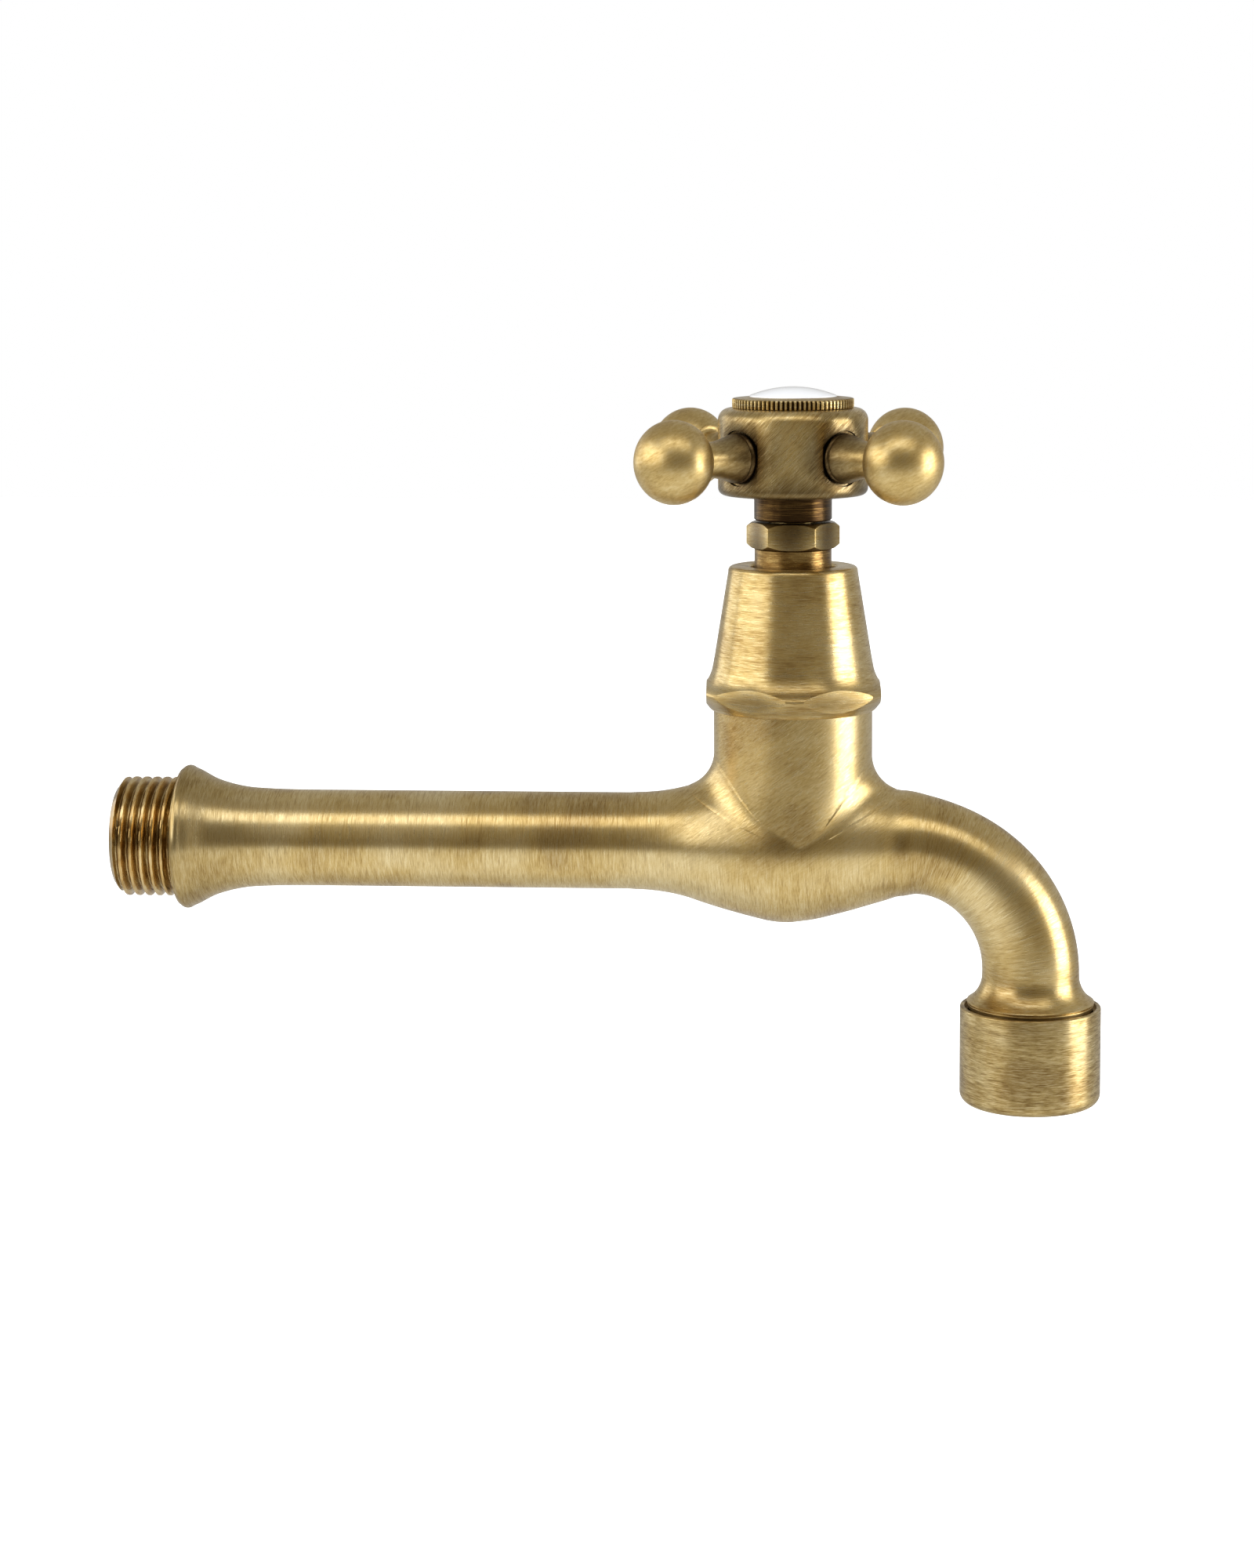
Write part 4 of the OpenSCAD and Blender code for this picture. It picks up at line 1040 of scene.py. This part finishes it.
def lit_paper():
    """Matt white paper, lit from below as on a light table: it looks evenly white, and what the brass
    sees of it is a pool of light in front of the tap that falls off behind it and to its left."""
    material = new_material("Matt white paper")
    source = node(material, "ShaderNodeTexCoord")
    fibre = node(material, "ShaderNodeTexNoise", Vector=(source, "Object"), Scale=60.0, Detail=3.0)
    tone = finish("floor")
    dull = tuple(c * 0.98 for c in tone[:3]) + (1.0,)
    shade = node(material, "ShaderNodeValToRGB", {"stops": [(0.3, dull), (0.7, tone)]}, in0=(fibre, 0))
    place = node(material, "ShaderNodeSeparateXYZ", in0=(source, "Object"))
    depth, side = (
        node(material, "ShaderNodeMapRange", {"interpolation_type": "SMOOTHSTEP"}, in0=(place, axis),
             in1=start, in2=end, in3=strong, in4=weak)
        for axis, start, end, strong, weak in ((1, -0.10, 0.06, 0.31, 0.0), (0, -0.45, -0.12, 0.0, 1.0)))
    pool = node(material, "ShaderNodeMath", {"operation": "MULTIPLY"}, in0=(depth, 0), in1=(side, 0))
    path = node(material, "ShaderNodeLightPath")
    glow = node(material, "ShaderNodeMix", {"data_type": "FLOAT"}, in0=(path, "Is Camera Ray"),
                in2=(pool, 0), in3=1.1)
    shader = node(material, "ShaderNodeBsdfPrincipled", Base_Color=(shade, 0), Roughness=0.9,
                  Emission_Color=(1.0, 1.0, 1.0, 1.0), Emission_Strength=(glow, 0))
    node(material, "ShaderNodeOutputMaterial", Surface=(shader, 0))
    return material


def studio(scene):
    """A room that is dim in front, where the photographer stands, and paler behind the tap. It looks
    white to the camera, and it fills the shadows of matt surfaces more than the brass mirrors it."""
    world = bpy.data.worlds.new("Studio")
    scene.world = world
    world.use_nodes = True
    world.node_tree.nodes.clear()
    way = node(world, "ShaderNodeTexCoord")
    parts = node(world, "ShaderNodeSeparateXYZ", in0=(way, "Generated"))
    depth = node(world, "ShaderNodeMapRange", {"interpolation_type": "SMOOTHSTEP"}, in0=(parts, 1),
                 in1=-0.95, in2=0.5, in3=0.19, in4=0.50)
    tint = node(world, "ShaderNodeValToRGB", {"stops": [(0.2, linear("#FFEDC8")), (0.5, linear("#FFFDF8"))]},
                in0=(depth, 0))
    room = node(world, "ShaderNodeBackground", Color=(tint, 0), Strength=(depth, 0))
    seen = node(world, "ShaderNodeBackground", Color=(1.0, 1.0, 1.0, 1.0), Strength=1.0)
    fill = node(world, "ShaderNodeBackground", Color=(1.0, 1.0, 1.0, 1.0), Strength=0.78)
    path = node(world, "ShaderNodeLightPath")
    soft = node(world, "ShaderNodeMixShader", in0=(path, "Is Diffuse Ray"), in1=(room, 0), in2=(fill, 0))
    both = node(world, "ShaderNodeMixShader", in0=(path, "Is Camera Ray"), in1=(soft, 0), in2=(seen, 0))
    node(world, "ShaderNodeOutputWorld", Surface=(both, 0))


class HOSEBIB_OT_stage(Step, bpy.types.Operator):
    """The floor, the lights and the camera"""
    bl_idname = "hosebib.stage"
    bl_label = "Stage"

    def execute(self, context):
        scene = context.scene
        floor_at, floor_size = (0.1, 1.22, -0.22), (6, 4.36, 1)
        start_clean()
        bpy.ops.mesh.primitive_plane_add(size=1, location=floor_at)
        floor = started("floor")
        bpy.ops.transform.resize(value=floor_size, center_override=floor_at)
        leave_edit()
        floor.data.materials.append(lit_paper())
        studio(scene)
        scene.view_settings.view_transform = "Standard"

        # Softboxes to the left, the right, behind and above: each a bearing and a height in degrees, a
        # distance, a width and a depth in metres, and a radiance
        aim = Vector((0.1, 0, 0.01))
        for name, bearing, height, distance, width, depth, radiance in (
                ("Left softbox", -69, 19, 0.9, 1.08, 0.56, 2.15),
                ("Right softbox", 84, 5, 0.9, 0.50, 0.54, 5.4),
                ("Back softbox", -119, 10, 0.9, 0.50, 0.46, 1.3),
                ("Top softbox", 0, 56, 0.9, 1.3, 0.37, 1.85)):
            b, h = math.radians(bearing), math.radians(height)
            place = aim + distance * Vector((math.sin(b) * math.cos(h), -math.cos(b) * math.cos(h),
                                             math.sin(h)))
            panel_light(name, place, aim, width, depth, radiance * math.pi * width * depth)

        # A full-frame camera with a short telephoto lens, looking down a little from in front
        data = bpy.data.cameras.new("Camera")
        data.sensor_fit = "AUTO"
        data.sensor_width = 36
        data.lens = 75.25
        data.shift_x, data.shift_y = -0.05, -0.11
        data.clip_start, data.clip_end = 0.01, 50
        camera = bpy.data.objects.new("Camera", data)
        scene.collection.objects.link(camera)
        camera_at, yaw, pitch, roll = (0.1310, -0.5622, 0.1060), -0.0687, 0.1160, -0.0031
        forward = Vector((math.sin(yaw) * math.cos(pitch), math.cos(yaw) * math.cos(pitch),
                          -math.sin(pitch)))
        right = forward.cross(Vector((0, 0, 1))).normalized()
        up = right.cross(forward)
        rolled_right = math.cos(roll) * right + math.sin(roll) * up
        rolled_up = -math.sin(roll) * right + math.cos(roll) * up
        aimed = Matrix((rolled_right, rolled_up, -forward)).transposed().to_4x4()
        camera.matrix_world = Matrix.Translation(camera_at) @ aimed
        scene.camera = camera
        return {"FINISHED"}


class HOSEBIB_PT_panel(bpy.types.Panel):
    """Lists the pieces in the 3D view's sidebar"""
    bl_label = "Hose Bib"
    bl_idname = "HOSEBIB_PT_panel"
    bl_space_type = "VIEW_3D"
    bl_region_type = "UI"
    bl_category = "Hose Bib"

    def draw(self, context):
        column = self.layout.column(align=True)
        for step in STEPS:
            column.operator(step.bl_idname)
        for group in (context.scene.hose_bib_sizes, context.scene.hose_bib_finishes):
            box = self.layout.box().column(align=True)
            for name in group.__annotations__:
                box.prop(group, name)


STEPS = (HOSEBIB_OT_body, HOSEBIB_OT_inlet, HOSEBIB_OT_bell, HOSEBIB_OT_gland, HOSEBIB_OT_sleeve,
         HOSEBIB_OT_hub, HOSEBIB_OT_arms, HOSEBIB_OT_index, HOSEBIB_OT_aerator, HOSEBIB_OT_inside,
         HOSEBIB_OT_stage)
CLASSES = (HoseBibSizes, HoseBibFinishes, *STEPS, HOSEBIB_PT_panel)


def register():
    for cls in CLASSES:
        bpy.utils.register_class(cls)
    bpy.types.Scene.hose_bib_sizes = PointerProperty(type=HoseBibSizes)
    bpy.types.Scene.hose_bib_finishes = PointerProperty(type=HoseBibFinishes)


def unregister():
    del bpy.types.Scene.hose_bib_finishes
    del bpy.types.Scene.hose_bib_sizes
    for cls in reversed(CLASSES):
        bpy.utils.unregister_class(cls)


def main():
    register()
    for step in STEPS:
        area, operator = step.bl_idname.split(".")
        getattr(getattr(bpy.ops, area), operator)()


if __name__ == "__main__":
    main()
